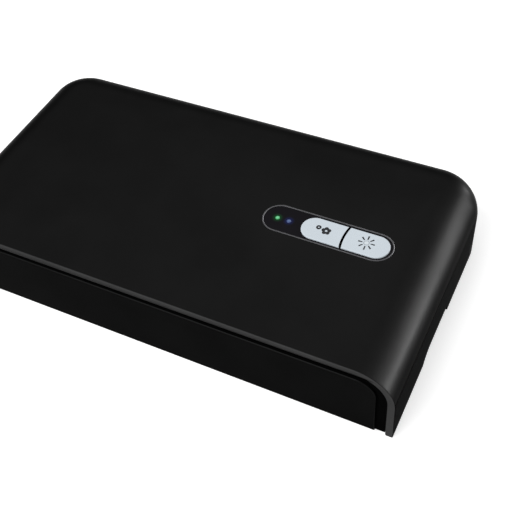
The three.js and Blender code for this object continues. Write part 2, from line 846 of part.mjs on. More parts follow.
function lidLiner() {
  const frontEdge = baseWallInnerY + partGap;
  const flange = raised(casePlan(lidSideWall + partGap, frontEdge), linerFlangeUnder, linerFlangeTop);
  const walls = raised(chamberPlan(traySkin), linerFlangeUnder, linerTop);
  const hollow = raised(chamberPlan(0), linerFlangeUnder - overrun, linerCeiling);
  const cups = magnetPlaces.map(([x, y]) => {
    return post(x, y, magnetCupRadius, linerFlangeUnder + flangeThickness / 2, linerMagnetTop, smallSides);
  });
  const cupHollows = magnetPlaces.map(([x, y]) => {
    const radius = magnetRadius + magnetClearance;
    return post(x, y, radius, linerFlangeUnder + magnetSkin, linerMagnetTop + overrun, smallSides);
  });
  const headPockets = screwPlaces.map(([x, y]) => {
    const radius = screwHeadRadius + screwClearance;
    return post(x, y, radius, linerFlangeUnder - overrun, linerScrewHeadTop, smallSides);
  });
  const screwBores = screwPlaces.map(([x, y]) => {
    const top = linerFlangeTop + overrun;
    return post(x, y, screwShankRadius + screwClearance, linerFlangeUnder, top, smallSides);
  });
  const stakes = stakePlaces(lidEmitterX).flatMap(([x, y]) => [
    post(x, y, stakeCollarRadius, linerTop - traySkin / 2, lidEmitterUnder - boardGap, smallSides),
    post(x, y, stakeRadius, linerTop - traySkin / 2, lidEmitterTop + stakeHead, smallSides),
  ]);
  const tub = cut(join(flange, walls, ...cups), hollow, ...cupHollows, ...headPockets, ...screwBores);
  return cut(join(tub, ...stakes), ...windowCutters(lidEmitterX, linerCeiling, linerTop));
}

// Control pod

function podOval(inset) {
  return oval(0, 0, podLength - 2 * inset, podWidth - 2 * inset);
}

function controlBezel() {
  const flange = raised(podOval(-bezelFlangeWidth), bezelFlangeUnder, bezelFlangeTop, bevelSteps);
  const ring = raised(podOval(0), bezelFlangeUnder, caseTop + bezelProud, bevelSteps);
  const seat = raised(podOval(bezelWall), bezelFlangeTop, caseTop + overrun, bevelSteps);
  const opening = raised(podOval(bezelWall + bezelLedge), bezelFlangeUnder - overrun, caseTop, bevelSteps);
  return cut(join(flange, ring), seat, opening);
}

function controlPlate() {
  const under = bezelFlangeTop + plateGap;
  const top = caseTop - plateSink;
  const plate = raised(podOval(bezelWall + plateGap), under, top, bevelSteps);
  const x = buttonsX - podX;
  const length = buttonsLength + 2 * buttonClearance;
  const width = buttonWidth + 2 * buttonClearance;
  const buttonHole = raised(oval(x, 0, length, width), under - overrun, top + overrun, bevelSteps);
  const holeRadius = indicatorRadius + indicatorClearance;
  const indicatorHoles = indicatorXs().map((ix) => {
    return post(ix - podX, 0, holeRadius, under - overrun, top + overrun, smallSides);
  });
  return cut(plate, buttonHole, ...indicatorHoles);
}

function indicatorXs() {
  const green = podX - podLength / 2 + greenFromPodEnd;
  return [green, green + indicatorSpacing];
}

// The outline of the left (-1) or right (1) button, about the middle of the pair
function buttonOutline(side) {
  const radius = buttonWidth / 2;
  const reach = buttonsLength / 2 - radius;
  const slitX = (side * buttonSlit) / 2;
  const bulgeX = slitX - 2 * buttonBulge;
  const shape = new THREE.Shape();
  shape.moveTo(slitX, side * radius);
  shape.quadraticCurveTo(bulgeX, 0, slitX, -side * radius);
  shape.lineTo(side * reach, -side * radius);
  const start = side > 0 ? -Math.PI / 2 : Math.PI / 2;
  shape.absarc(side * reach, 0, radius, start, start + Math.PI);
  shape.closePath();
  return shape;
}

function buttonCap(side) {
  const under = bezelFlangeTop + buttonTravel + buttonStopGap;
  const top = caseTop + buttonProud;
  const geometry = new THREE.ExtrudeGeometry(buttonOutline(side), {
    depth: top - under - buttonBevel,
    bevelEnabled: true,
    bevelThickness: buttonBevel,
    bevelSize: buttonBevel,
    bevelOffset: -buttonBevel,
    bevelSegments: capBevelSteps,
    curveSegments: bevelSteps,
  });
  geometry.translate(0, 0, under);
  const cap = cut(toSolid(geometry), pad(0, 0, podLength, podWidth, under - 2 * buttonBevel, under));

  const [x0, x1] = stemSpan(side);
  const half = buttonWidth / 2 - stemInset;
  const stem = block(x0, x1, -half, half, stemUnder, under + buttonBevel);
  const lugs = sides.map((edge) => {
    const reach = edge * (half + lugReach);
    const [y0, y1] = edge > 0 ? [half - lugReach, reach] : [reach, -half + lugReach];
    const middle = (x0 + x1) / 2;
    return block(middle - lugWidth / 2, middle + lugWidth / 2, y0, y1, stemUnder, stemUnder + lugHeight);
  });
  return join(cap, stem, ...lugs);
}

// Where a button's stem lies along X, about the middle of the pair
function stemSpan(side) {
  const inner = side * (buttonSlit / 2 + 2 * stemInset);
  const outer = side * (buttonsLength / 2 - buttonWidth / 2);
  return side > 0 ? [inner, outer] : [outer, inner];
}

function buttonMiddle(side) {
  const [x0, x1] = stemSpan(side);
  return buttonsX + (x0 + x1) / 2;
}

function keySwitch() {
  const body = pad(0, 0, switchSize, switchSize, 0, switchBodyHeight);
  const key = post(0, 0, switchKeyRadius, 0, switchHeight, smallSides);
  return join(body, key);
}

function indicatorPipe() {
  const under = controlBoardTop + indicatorChipHeight + boardGap;
  const height = caseTop - under;
  const geometry = new THREE.CylinderGeometry(indicatorRadius, indicatorRadius, height, smallSides);
  geometry.rotateX(Math.PI / 2);
  geometry.translate(0, 0, under + height / 2);
  return geometry;
}

function controlBoard() {
  const top = controlBoardTop;
  const under = controlBoardUnder;
  const board = pad(podX, podY, controlBoardLength, controlBoardWidth, under, top);
  const sunk = top - boardThickness / 2;
  const chips = indicatorXs().map((x) => {
    return pad(x, podY, indicatorChipSize, indicatorChipSize, sunk, top + indicatorChipHeight);
  });
  const holes = controlBossPlaces.map(([x, y]) => {
    return post(x, y, screwShankRadius + screwClearance, under - overrun, top + overrun, smallSides);
  });
  return cut(join(board, ...chips), ...holes);
}

// Main board with its chips and coil, and the tongue that carries the socket

const mainBoardBackY = backY - baseInnerInset - partGap;
const mainBoardFrontY = mainBoardBackY - mainBoardDepth;

function mainBoardPostPlaces() {
  const x = mainBoardWidth / 2 - mainBoardPostInset;
  return fourPlaces(x, [mainBoardFrontY + mainBoardPostInset, mainBoardBackY - mainBoardPostInset]);
}

function mainBoard() {
  const half = mainBoardWidth / 2;
  const [under, top] = [mainBoardUnder, mainBoardTop];
  const board = block(-half, half, mainBoardFrontY, mainBoardBackY, under, top);
  const tongueBack = backY - mainBoardTongueFromBack;
  const tongueHalf = mainBoardTongueWidth / 2;
  const tongue = block(-tongueHalf, tongueHalf, mainBoardBackY - overrun, tongueBack, under, top);
  const middleY = (mainBoardFrontY + mainBoardBackY) / 2;
  const sunk = top - boardThickness / 2;
  const chips = chipWidths.map((width, i) => {
    return pad(half * chipShares[i], middleY, width, width, sunk, top + chipHeight);
  });
  const coil = post(half * coilShare, middleY, coilRadius, sunk, top + coilHeight, smallSides);
  const holes = mainBoardPostPlaces().map(([x, y]) => {
    return post(x, y, stakeRadius + stakeClearance, under - overrun, top + overrun, smallSides);
  });
  return cut(join(board, tongue, ...chips, coil), ...holes);
}

function usbSocket() {
  const { y0, y1, z0, z1 } = socketPlace();
  const z = (z0 + z1) / 2;
  const can = carriedAlongY(portOutline(socketWidth, socketHeight, z), y0, y1);
  const inner = portOutline(socketWidth - 2 * socketWall, socketHeight - 2 * socketWall, z);
  const mouth = carriedAlongY(inner, y0 + socketBackWall, y1 + overrun);
  const tongueHalf = socketWidth / 2 - socketHeight / 2;
  const tongueY1 = y1 - socketTongueSink;
  const [low, high] = [z - socketTongueHeight / 2, z + socketTongueHeight / 2];
  const tongue = block(-tongueHalf, tongueHalf, y0 + socketBackWall / 2, tongueY1, low, high);
  return join(cut(can, mouth), tongue);
}

// Aroma cup: a round cup that hangs by its rim in the tray's floor
function aromaCup() {
  const cup = post(0, 0, aromaRadius, aromaUnder, aromaRimUnder + aromaRimThickness / 2);
  const rim = post(0, 0, aromaRadius + aromaRimWidth, aromaRimUnder, aromaRimUnder + aromaRimThickness);
  const rimTop = aromaRimUnder + aromaRimThickness;
  const hollow = post(0, 0, aromaRadius - aromaWall, aromaUnder + aromaWall, rimTop + overrun);
  return cut(join(cup, rim), hollow);
}

function disc(radius, thickness) {
  const geometry = new THREE.CylinderGeometry(radius, radius, thickness, roundSides);
  geometry.rotateX(Math.PI / 2);
  geometry.translate(0, 0, thickness / 2);
  return geometry;
}

// The lid sensor: a small board with its chip on the underside, top face at level 0
function lidSensor() {
  const board = pad(0, 0, sensorBoardLength, sensorBoardWidth, -boardThickness, 0);
  const chipUnder = -boardThickness - sensorChipHeight;
  return join(board, pad(0, 0, sensorChipSize, sensorChipSize, chipUnder, -boardThickness / 2));
}

// Leads, point by point

const leadHalfGap = boardGap;
const sensorX = sensorFromMagnet - magnetX;
const sensorY = frontY + flangeMiddleFromFront;
const sensorTop = splitZ - flangeThickness - glueGap;
const sensorUnder = sensorTop - boardThickness - sensorChipHeight;
const leadOverBoard = leadRadius + boardGap;

// From the main board, through the back wall, to the hinge axis
function baseLeadRoute(extra) {
  const x = leadKnuckleX - leadKnuckleLength / 2;
  const z = mainBoardTop + leadOverBoard;
  return [
    [x, backY - 15 - extra, z],
    [x, backY - 10, z + 0.1],
    [x, backY - 5, z + 1.5],
    [x + 0.3, backY - 1.2, hingeZ - 0.6],
    [x + 1.9, backY, hingeZ],
    [leadKnuckleX - leadHalfGap + extra, backY, hingeZ],
  ];
}

// From the hinge axis, up a channel in the lid's back wall, to the lid's emitter board
function lidLeadRoute(extra) {
  const x = leadKnuckleX + leadKnuckleLength / 2;
  const channelY = backY - lidSideWall + leadChannelDepth - leadBoreRadius;
  const z = lidEmitterTop + leadOverBoard;
  return [
    [leadKnuckleX + leadHalfGap - extra, backY, hingeZ],
    [x - 1.9, backY, hingeZ],
    [x - 0.2, backY - 0.9, hingeZ + 0.9],
    [x, channelY, hingeZ + 4],
    [x, channelY, hingeZ + 14],
    [x, channelY - 1.1, hingeZ + 18.5],
    [x, channelY - 5.5, z - 0.9],
    [x, channelY - 14, z + 0.2],
    [x, chamberMiddleY + 12, z + 0.1],
    [x, chamberMiddleY + 3, z],
  ];
}

function controlLeadRoute() {
  const z0 = lidEmitterTop + leadOverBoard;
  const z1 = controlBoardTop + leadOverBoard;
  const x0 = lidEmitterX + emitterBoardLength / 2;
  const x1 = podX - controlBoardLength / 2;
  return [
    [x0 - 7, chamberMiddleY + 4, z0],
    [x0 - 1, chamberMiddleY + 4, z0 + 0.05],
    [(x0 + x1) / 2, podY + 4.5, (z0 + z1) / 2 + 0.2],
    [x1 + 1, podY + 5, z1 + 0.05],
    [x1 + 4, podY + 5, z1],
  ];
}

function emitterLeadRoute() {
  const x = -12;
  const z0 = mainBoardTop + leadOverBoard;
  const z1 = baseEmitterUnder - leadOverBoard;
  return [
    [x, mainBoardFrontY + 8, z0],
    [x, mainBoardFrontY + 2, z0],
    [x, mainBoardFrontY - 5, (z0 + z1) / 2],
    [x, chamberMiddleY + 5, z1],
    [x, chamberMiddleY, z1],
  ];
}

function heaterLeadRoute() {
  const z0 = mainBoardTop + leadOverBoard;
  const z1 = aromaUnder - leadOverBoard - boardGap;
  const reach = heaterRadius + 2 * boardGap;
  return [
    [24, mainBoardFrontY + 8, z0],
    [27, mainBoardFrontY + 1, z0],
    [45, chamberMiddleY - 4, floorTop + 1.2],
    [66, aromaY + 16, floorTop + 1.4],
    [aromaX - reach * 0.8, aromaY + reach * 1.3, z1],
    [aromaX - reach * 0.5, aromaY + reach * 0.866, z1],
  ];
}

function sensorLeadRoute() {
  const z0 = mainBoardTop + leadOverBoard;
  return [
    [-26, mainBoardFrontY + 8, z0],
    [-29, mainBoardFrontY + 1, z0],
    [-38, chamberMiddleY - 12, floorTop + 1.2],
    [sensorX, frontY + 26, floorTop + 1.2],
    [sensorX, sensorY + 2, floorTop + 3.5],
    [sensorX, sensorY, floorTop + 9],
    [sensorX, sensorY, sensorUnder - boardGap],
  ];
}

// Finishes

function finish(color, roughness, metalness = 0) {
  return new THREE.MeshStandardMaterial({ color, roughness, metalness });
}

const blackPlastic = finish(0x191919, 0.45);
const darkPlastic = finish(0x111111, 0.5);
const glossBlack = finish(0x0c0c0e, 0.12);
const paleGrey = finish(0xd8dfe5, 0.5);
const brightMetal = finish(0x8f9092, 0.3, 0.9);
const mirrorCoat = finish(0xc9ccd0, 0.18, 0.85);
const rubber = finish(0x1b1b1b, 0.85);
const steel = finish(0x9a9da0, 0.35, 0.95);
const boardGreen = finish(0x1f5a38, 0.55);
const quartz = finish(0xdfe8ee, 0.08);
const ceramic = finish(0xe9e6da, 0.5);
const magnetCoat = finish(0xb9bcbf, 0.25, 0.95);
const feltGrey = finish(0xd9d4c8, 0.95);
const greenLens = finish(0x63be82, 0.3);
const blueLens = finish(0x505a8c, 0.3);
const leadBlack = finish(0x202020, 0.6);
const switchBlack = finish(0x2a2a2c, 0.5);

// Scene graph

function piece(name, shape, material, x = 0, y = 0, z = 0) {
  const geometry = shape.isBufferGeometry ? shape : toGeometry(shape);
  const mesh = new THREE.Mesh(geometry, material);
  mesh.name = name;
  mesh.position.set(x, y, z);
  return mesh;
}

function addScrews(group, name, places, headUnder, length) {
  places.forEach(([x, y], i) => {
    group.add(piece(`${name}_${i + 1}`, screwSolid(length), steel, x, y, headUnder));
  });
}

const sideNames = ['left', 'right'];
const endNames = ['front', 'back'];

function baseGroup() {
  const group = new THREE.Group();
  group.add(piece('base_shell', baseShell(), darkPlastic));
  group.add(piece('front_panel', frontPanel(), glossBlack));
  group.add(piece('chamber_tray', chamberTray(), mirrorCoat));
  group.add(piece('light_seal', lightSeal(), rubber));
  footPlaces().forEach(([x, y], i) => {
    const name = `rubber_foot_${endNames[i % 2]}_${sideNames[Math.floor(i / 2)]}`;
    group.add(piece(name, rubberFoot(), rubber, x, y, 0));
  });
  addScrews(group, 'base_screw', screwPlaces, baseScrewHeadUnder, baseScrewLength);
  hingeXs.forEach((x, i) => {
    group.add(piece(`hinge_pin_${sideNames[i]}`, hingePin(), steel, x, hingeY, hingeZ));
  });

  group.add(piece('base_emitter_board', emitterBoard(0, baseEmitterUnder), boardGreen));
  const emitterZ = baseEmitterTop + boardGap;
  emitterXs(0).forEach((x, i) => {
    group.add(piece(`base_emitter_${i + 1}`, emitter(), ceramic, x, chamberMiddleY, emitterZ));
  });
  const windowZ = trayFloorUnder + windowLipThickness + glueGap + windowThickness / 2;
  group.add(piece('base_window', quartzWindow(), quartz, 0, chamberMiddleY, windowZ));

  group.add(piece('main_board', mainBoard(), boardGreen));
  group.add(piece('usb_socket', usbSocket(), steel));
  group.add(piece('aroma_cup', aromaCup(), darkPlastic, aromaX, aromaY, 0));
  const aromaPad = disc(aromaRadius - aromaWall - aromaPadClearance, aromaPadThickness);
  group.add(piece('aroma_pad', aromaPad, feltGrey, aromaX, aromaY, aromaUnder + aromaWall + glueGap));
  group.add(piece('aroma_heater', disc(heaterRadius, heaterThickness), ceramic, aromaX, aromaY, heaterUnder));
  const magnetUnder = trayMagnetTop - magnetThickness;
  magnetPlaces.forEach(([x, y], i) => {
    const magnet = disc(magnetRadius, magnetThickness);
    group.add(piece(`base_magnet_${sideNames[i]}`, magnet, magnetCoat, x, y, magnetUnder));
  });
  group.add(piece('lid_sensor', lidSensor(), boardGreen, sensorX, sensorY, sensorTop));
  group.add(piece('base_hinge_lead', lead(baseLeadRoute(0), leadRadius), leadBlack));
  group.add(piece('base_emitter_lead', lead(emitterLeadRoute(), leadRadius), leadBlack));
  group.add(piece('heater_lead', lead(heaterLeadRoute(), leadRadius), leadBlack));
  group.add(piece('sensor_lead', lead(sensorLeadRoute(), leadRadius), leadBlack));
  return group;
}

function lidGroup() {
  const group = new THREE.Group();
  group.add(piece('lid_shell', lidShell(), blackPlastic));
  group.add(piece('lid_liner', lidLiner(), mirrorCoat));
  addScrews(group, 'liner_screw', screwPlaces, linerScrewHeadUnder, linerScrewLength);
  group.add(piece('lid_emitter_board', emitterBoard(lidEmitterX, lidEmitterUnder), boardGreen));
  const emitterZ = lidEmitterUnder - boardGap;
  emitterXs(lidEmitterX).forEach((x, i) => {
    const mesh = piece(`lid_emitter_${i + 1}`, emitter(), ceramic, x, chamberMiddleY, emitterZ);
    mesh.rotation.x = Math.PI;
    group.add(mesh);
  });
  const windowZ = linerCeiling + windowLipThickness + glueGap + windowThickness / 2;
  group.add(piece('lid_window', quartzWindow(), quartz, lidEmitterX, chamberMiddleY, windowZ));
  magnetPlaces.forEach(([x, y], i) => {
    const magnet = disc(magnetRadius, magnetThickness);
    group.add(piece(`lid_magnet_${sideNames[i]}`, magnet, magnetCoat, x, y, linerMagnetBase));
  });

  group.add(piece('control_bezel', controlBezel(), brightMetal, podX, podY, 0));
  group.add(piece('control_plate', controlPlate(), glossBlack, podX, podY, 0));
  group.add(piece('control_board', controlBoard(), boardGreen));
  const headUnder = controlBoardUnder - glueGap - screwHeadHeight;
  addScrews(group, 'board_screw', controlBossPlaces, headUnder, boardScrewLength);
  const [greenX, blueX] = indicatorXs();
  group.add(piece('green_indicator', indicatorPipe(), greenLens, greenX, podY, 0));
  group.add(piece('blue_indicator', indicatorPipe(), blueLens, blueX, podY, 0));
  const switchNames = ['aroma_switch', 'sanitize_switch'];
  sides.forEach((side, i) => {
    const z = controlBoardTop + switchSeatGap;
    group.add(piece(switchNames[i], keySwitch(), switchBlack, buttonMiddle(side), podY, z));
  });
  group.add(piece('lid_hinge_lead', lead(lidLeadRoute(0), leadRadius), leadBlack));
  group.add(piece('control_lead', lead(controlLeadRoute(), leadRadius), leadBlack));
  return group;
}

function buttonGroup() {
  const group = new THREE.Group();
  group.position.set(buttonsX, podY, 0);
  const names = ['aroma_button', 'sanitize_button'];
  sides.forEach((side, i) => group.add(piece(names[i], buttonCap(side), paleGrey)));
  return group;
}

const sanitizerCase = new THREE.Group();
sanitizerCase.add(baseGroup(), lidGroup(), buttonGroup());

export default sanitizerCase;
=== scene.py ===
import math

import bmesh
import bpy
from mathutils import Matrix, Vector

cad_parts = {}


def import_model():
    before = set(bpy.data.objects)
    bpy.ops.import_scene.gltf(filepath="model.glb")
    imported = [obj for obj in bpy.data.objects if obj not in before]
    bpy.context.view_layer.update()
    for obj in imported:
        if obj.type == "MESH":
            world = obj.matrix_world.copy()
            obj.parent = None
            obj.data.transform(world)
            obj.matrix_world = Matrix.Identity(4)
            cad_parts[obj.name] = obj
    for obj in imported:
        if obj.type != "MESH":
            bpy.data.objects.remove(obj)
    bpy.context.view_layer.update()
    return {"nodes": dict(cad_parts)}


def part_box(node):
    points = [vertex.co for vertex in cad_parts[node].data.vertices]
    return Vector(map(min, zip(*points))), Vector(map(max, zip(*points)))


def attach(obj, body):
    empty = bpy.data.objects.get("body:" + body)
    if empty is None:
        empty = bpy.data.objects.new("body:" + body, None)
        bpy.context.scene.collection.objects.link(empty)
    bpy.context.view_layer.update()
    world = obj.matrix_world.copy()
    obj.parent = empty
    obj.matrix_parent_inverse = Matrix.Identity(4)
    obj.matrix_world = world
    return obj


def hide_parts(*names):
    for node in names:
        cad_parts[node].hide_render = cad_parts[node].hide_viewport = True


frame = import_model()
nodes = frame["nodes"]
MM = 0.001

# Sizes of the case in millimetres, as the CAD has them
RIGHT = 110.0
FRONT = -61.6
BACK = 58.4
BOTTOM = 1.0
LID_FOOT = 2.0
TOP = 39.0
CEILING = 36.4
EDGE = 16.0
CORNER = 20.0
LID_WALL = 3.2
LID_GAP = 0.5
HINGE_Z = 10.0
LOW_SIDE_END = 34.4
SPLIT = 22.5
NEST = LID_WALL + LID_GAP
BASE_INNER = NEST + 2.2
BASE_FACE = -60.0
BASE_WALL_INNER = -57.8
FLOOR_TOP = 3.2
BARREL = 3.15
POD = (58.6, -3.5)
POD_LENGTH = 57.6
POD_WIDTH = 15.0
BUTTONS_X = 66.6
BUTTONS_LENGTH = 38.4
BUTTON_WIDTH = 11.8
BUTTON_SLIT = 0.7
BUTTON_BULGE = 0.65
BUTTON_TOP = 39.5
WINDOW_X = sum(corner[0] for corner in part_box("lid_window")) / 2 / MM

# The hinge: knuckles as spans along X, and bores
LID_KNUCKLES = [(-72.0, -58.0), (58.0, 72.0), (-15.8, -6.8)]
BASE_KNUCKLES = [(-80.4, -72.4), (-57.6, -49.6), (49.6, 57.6), (72.4, 80.4), (-25.2, -16.2)]
KNUCKLE_ROOM = 0.4
PIN_PLACES = (-65, 65)
PIN_REACH = 17
PIN_BORE = 1.5
LEAD_BORE = 1.1

# Screws and feet: places in plan, and radii
SCREWS = [(x, y) for x in (-99.6, 99.6) for y in (-47.6, 30.4)]
SCREW_HEAD = 2.3
SCREW_SHANK = 1.2
FEET = [(x, y) for x in (-88, 88) for y in (-48.6, 41.4)]
FOOT_HOLE = 6.2

# Tray and liner: the walls' x0, x1, y0, y1 and corner, the hollow's half width, y0, y1 and corner
TRAY_WALLS = (-95.2, 95.2, -47.8, 43.6, 11.2)
TRAY_HOLLOW = (94, -46.6, 42.4, 10)
TRAY_TURN = 3.0
TRAY_ROOM = 0.4
TRAY_UNDER = 11.3
TRAY_FLOOR = 12.5
LINER_UNDER = 23.2
LINER_ROOF = 29.6
LINER_TOP = 30.8

# Pod plate, buttons and signs
POD_ROOM = 0.3
PLATE_LOSS = 1.4
PLATE_TOP = 38.9
CAP_TOP = BUTTON_TOP - 0.04
SIGN_TOP = BUTTON_TOP - 0.02
SIGN_DEPTH = 0.06

# How far the cutting blocks reach, past the case and below it
BEYOND = 130
DEEP = -40

# Axes of a vector, and how finely round shapes are cut
Y, Z = 1, 2
CYLINDER_STEPS = 40
POD_STEPS = 36
LENS_STEPS = 32


# Mesh helpers


def new_object(name, bm):
    mesh = bpy.data.meshes.new(name)
    bm.to_mesh(mesh)
    bm.free()
    obj = bpy.data.objects.new(name, mesh)
    bpy.context.scene.collection.objects.link(obj)
    return obj


def arc(cx, cy, radius, start, end, steps):
    points = []
    for i in range(steps + 1):
        angle = math.radians(start + (end - start) * i / steps)
        points.append((cx + radius * math.cos(angle), cy + radius * math.sin(angle)))
    return points


def circle(cx, cy, radius, steps=60):
    return arc(cx, cy, radius, 0, 360 - 360 / steps, steps - 1)


def curve(start, handle, end, steps):
    """A quadratic curve between two points, which leaves both of them towards the handle."""
    points = []
    for i in range(steps + 1):
        t = i / steps
        shares = ((1 - t) ** 2, 2 * t * (1 - t), t * t)
        ends = list(zip(shares, (start, handle, end)))
        points.append(tuple(sum(share * point[axis] for share, point in ends) for axis in (0, 1)))
    return points


def plan_path(inset, front, steps=20):
    """The case's plan from its front left corner round the back to its front right corner."""
    left = -RIGHT + inset
    right = RIGHT - inset
    back = BACK - inset
    radius = max(CORNER - inset, 0.05)
    points = [(left, front)]
    points += arc(left + radius, back - radius, radius, 180, 90, steps)
    points += arc(right - radius, back - radius, radius, 90, 0, steps)
    points.append((right, front))
    return points


def rounded_rect(x0, x1, y0, y1, radius, steps=14):
    points = arc(x1 - radius, y0 + radius, radius, -90, 0, steps)
    points += arc(x1 - radius, y1 - radius, radius, 0, 90, steps)
    points += arc(x0 + radius, y1 - radius, radius, 90, 180, steps)
    points += arc(x0 + radius, y0 + radius, radius, 180, 270, steps)
    return points


def oval(cx, cy, length, width, steps=28):
    radius = width / 2
    reach = length / 2 - radius
    points = arc(cx + reach, cy, radius, -90, 90, steps)
    points += arc(cx - reach, cy, radius, 90, 270, steps)
    return points


def raised(points, z):
    return [(x, y, z) for x, y in points]


def add_rings(bm, rings):
    return [[bm.verts.new(Vector(p) * MM) for p in ring] for ring in rings]


def bridge(bm, low, high):
    """Joins two closed rings of vertices with a band of faces."""
    count = len(low)
    for i in range(count):
        j = (i + 1) % count
        bm.faces.new((low[i], low[j], high[j], high[i]))


def loft(rings):
    """A closed solid of rings, each a list of (x, y, z) in millimetres with the same count."""
    bm = bmesh.new()
    rows = add_rings(bm, rings)
    for low, high in zip(rows, rows[1:]):
        bridge(bm, low, high)
    bm.faces.new(list(reversed(rows[0])))
    bm.faces.new(rows[-1])
    bmesh.ops.remove_doubles(bm, verts=bm.verts, dist=1e-6)
    bmesh.ops.recalc_face_normals(bm, faces=bm.faces)
    return bm


def wrapped(rings):
    """A ring-shaped solid, where the last ring joins the first."""
    bm = bmesh.new()
    rows = add_rings(bm, rings)
    for low, high in zip(rows, rows[1:] + rows[:1]):
        bridge(bm, low, high)
    bmesh.ops.recalc_face_normals(bm, faces=bm.faces)
    return bm


def prism(points, z0, z1):
    return loft([raised(points, z) for z in (z0, z1)])


def prism_x(points, x0, x1):
    """An outline in Y and Z, carried along X."""
    return loft([[(x, y, z) for y, z in points] for x in (x0, x1)])


def prism_y(points, y0, y1):
    """An outline in X and Z, carried along Y."""
    return loft([[(x, y, z) for x, z in points] for y in (y0, y1)])


def cylinder_x(x0, x1, y, z, radius):
    return prism_x(circle(y, z, radius, CYLINDER_STEPS), x0, x1)


def cylinder_z(x, y, radius, z0, z1, steps=CYLINDER_STEPS):
    return prism(circle(x, y, radius, steps), z0, z1)


def box_mesh(x0, x1, y0, y1, z0, z1):
    return prism([(x0, y0), (x1, y0), (x1, y1), (x0, y1)], z0, z1)


def combine(obj, tools, operation):
    """Applies solid tools to an object and removes them."""
    for bm in tools:
        tool = new_object("tool", bm)
        modifier = obj.modifiers.new("cut", "BOOLEAN")
        modifier.operation = operation
        modifier.solver = "EXACT"
        modifier.object = tool
        apply_modifiers(obj)
        bpy.data.objects.remove(tool, do_unlink=True)


def apply_modifiers(obj):
    graph = bpy.context.evaluated_depsgraph_get()
    mesh = bpy.data.meshes.new_from_object(obj.evaluated_get(graph), depsgraph=graph)
    old = obj.data
    obj.modifiers.clear()
    obj.data = mesh
    bpy.data.meshes.remove(old)


def as_tool(obj):
    """An object's mesh as a tool for combine, in place of the object."""
    bm = bmesh.new()
    bm.from_mesh(obj.data)
    bpy.data.objects.remove(obj, do_unlink=True)
    return bm


def smooth(obj, sharp_from=30):
    """Shades an object smooth but for its edges sharper than an angle in degrees."""
    obj.data.polygons.foreach_set("use_smooth", [True] * len(obj.data.polygons))
    obj.data.set_sharp_from_angle(angle=math.radians(sharp_from))
    weighted = obj.modifiers.new("normals", "WEIGHTED_NORMAL")
    weighted.keep_sharp = True
    weighted.weight = 60
    apply_modifiers(obj)


def finish_piece(obj, finish, body, slot, *replaced):
    obj.data.materials.clear()
    obj.data.materials.append(finish)
    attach(obj, body)
    if replaced:
        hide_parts(*replaced)


def paint(obj, finish, chosen):
    """Gives another finish to the faces for which chosen(centre, normal) holds, in millimetres."""
    index = len(obj.data.materials)
    obj.data.materials.append(finish)
    for face in obj.data.polygons:
        if chosen(face.center / MM, face.normal):
            face.material_index = index


# Materials


def material(name):
    mat = bpy.data.materials.new(name)
    mat.use_nodes = True
    tree = mat.node_tree
    tree.nodes.clear()
    out = tree.nodes.new("ShaderNodeOutputMaterial")
    shader = tree.nodes.new("ShaderNodeBsdfPrincipled")
    tree.links.new(shader.outputs["BSDF"], out.inputs["Surface"])
    return mat, tree, shader


def place(tree, stretch=(1, 1, 1)):
    coords = tree.nodes.new("ShaderNodeTexCoord")
    mapping = tree.nodes.new("ShaderNodeMapping")
    mapping.inputs["Scale"].default_value = stretch
    tree.links.new(coords.outputs["Object"], mapping.inputs["Vector"])
    return mapping.outputs["Vector"]


def noise(tree, vector, per_metre, detail=3.0, roughness=0.5):
    node = tree.nodes.new("ShaderNodeTexNoise")
    node.inputs["Scale"].default_value = per_metre
    node.inputs["Detail"].default_value = detail
    node.inputs["Roughness"].default_value = roughness
    tree.links.new(vector, node.inputs["Vector"])
    return node.outputs["Fac"]


def spread(tree, value, low, high, start=0.3, end=0.7, interpolation="LINEAR"):
    """Maps start and end to low and high."""
    node = tree.nodes.new("ShaderNodeMapRange")
    node.interpolation_type = interpolation
    node.inputs["From Min"].default_value = start
    node.inputs["From Max"].default_value = end
    node.inputs["To Min"].default_value = low
    node.inputs["To Max"].default_value = high
    tree.links.new(value, node.inputs["Value"])
    return node.outputs["Result"]


def calculate(tree, kind, operation, *values):
    """A Math or Vector Math node, fed with sockets or constant vectors."""
    node = tree.nodes.new(kind)
    node.operation = operation
    for socket, value in zip(node.inputs, values):
        if isinstance(value, tuple):
            socket.default_value = value
        else:
            tree.links.new(value, socket)
    return node


def blend_colors(tree, value, first, second):
    node = tree.nodes.new("ShaderNodeMix")
    node.data_type = "RGBA"
    tree.links.new(value, node.inputs["Factor"])
    for socket, color in ((node.inputs[6], first), (node.inputs[7], second)):
        if isinstance(color, tuple):
            socket.default_value = (*color, 1)
        else:
            tree.links.new(color, socket)
    return node.outputs[2]


def linear(*levels):
    """Colour levels of 0 to 255 as linear values."""
    values = []
    for level in levels:
        share = level / 255
        values.append(share / 12.92 if share <= 0.04045 else ((share + 0.055) / 1.055) ** 2.4)
    return tuple(values)


def mottled(tree, vector, color, amount):
    """A colour that drifts a little darker and paler from place to place."""
    cloud = noise(tree, vector, 45, 4.0)
    darker = tuple(c * (1 - amount) for c in color)
    paler = tuple(min(c * (1 + amount), 1.0) for c in color)
    return blend_colors(tree, spread(tree, cloud, 0, 1), darker, paler)


def painted_edge_highlight(tree, color, edge_highlight):
    """Sharp edges painted a little paler than the rest: a painted highlight where they catch the
    light.
    """
    geometry = tree.nodes.new("ShaderNodeNewGeometry")
    sharp = spread(tree, geometry.outputs["Pointiness"], 0.0, 0.35, 0.52, 0.6)
    return blend_colors(tree, sharp, color, edge_highlight)


def bump(tree, shader, height, strength, depth):
    """Raises the surface by a height of 0 to 1 over a depth in millimetres."""
    node = tree.nodes.new("ShaderNodeBump")
    node.inputs["Strength"].default_value = strength
    node.inputs["Distance"].default_value = depth * MM
    tree.links.new(height, node.inputs["Height"])
    tree.links.new(node.outputs["Normal"], shader.inputs["Normal"])


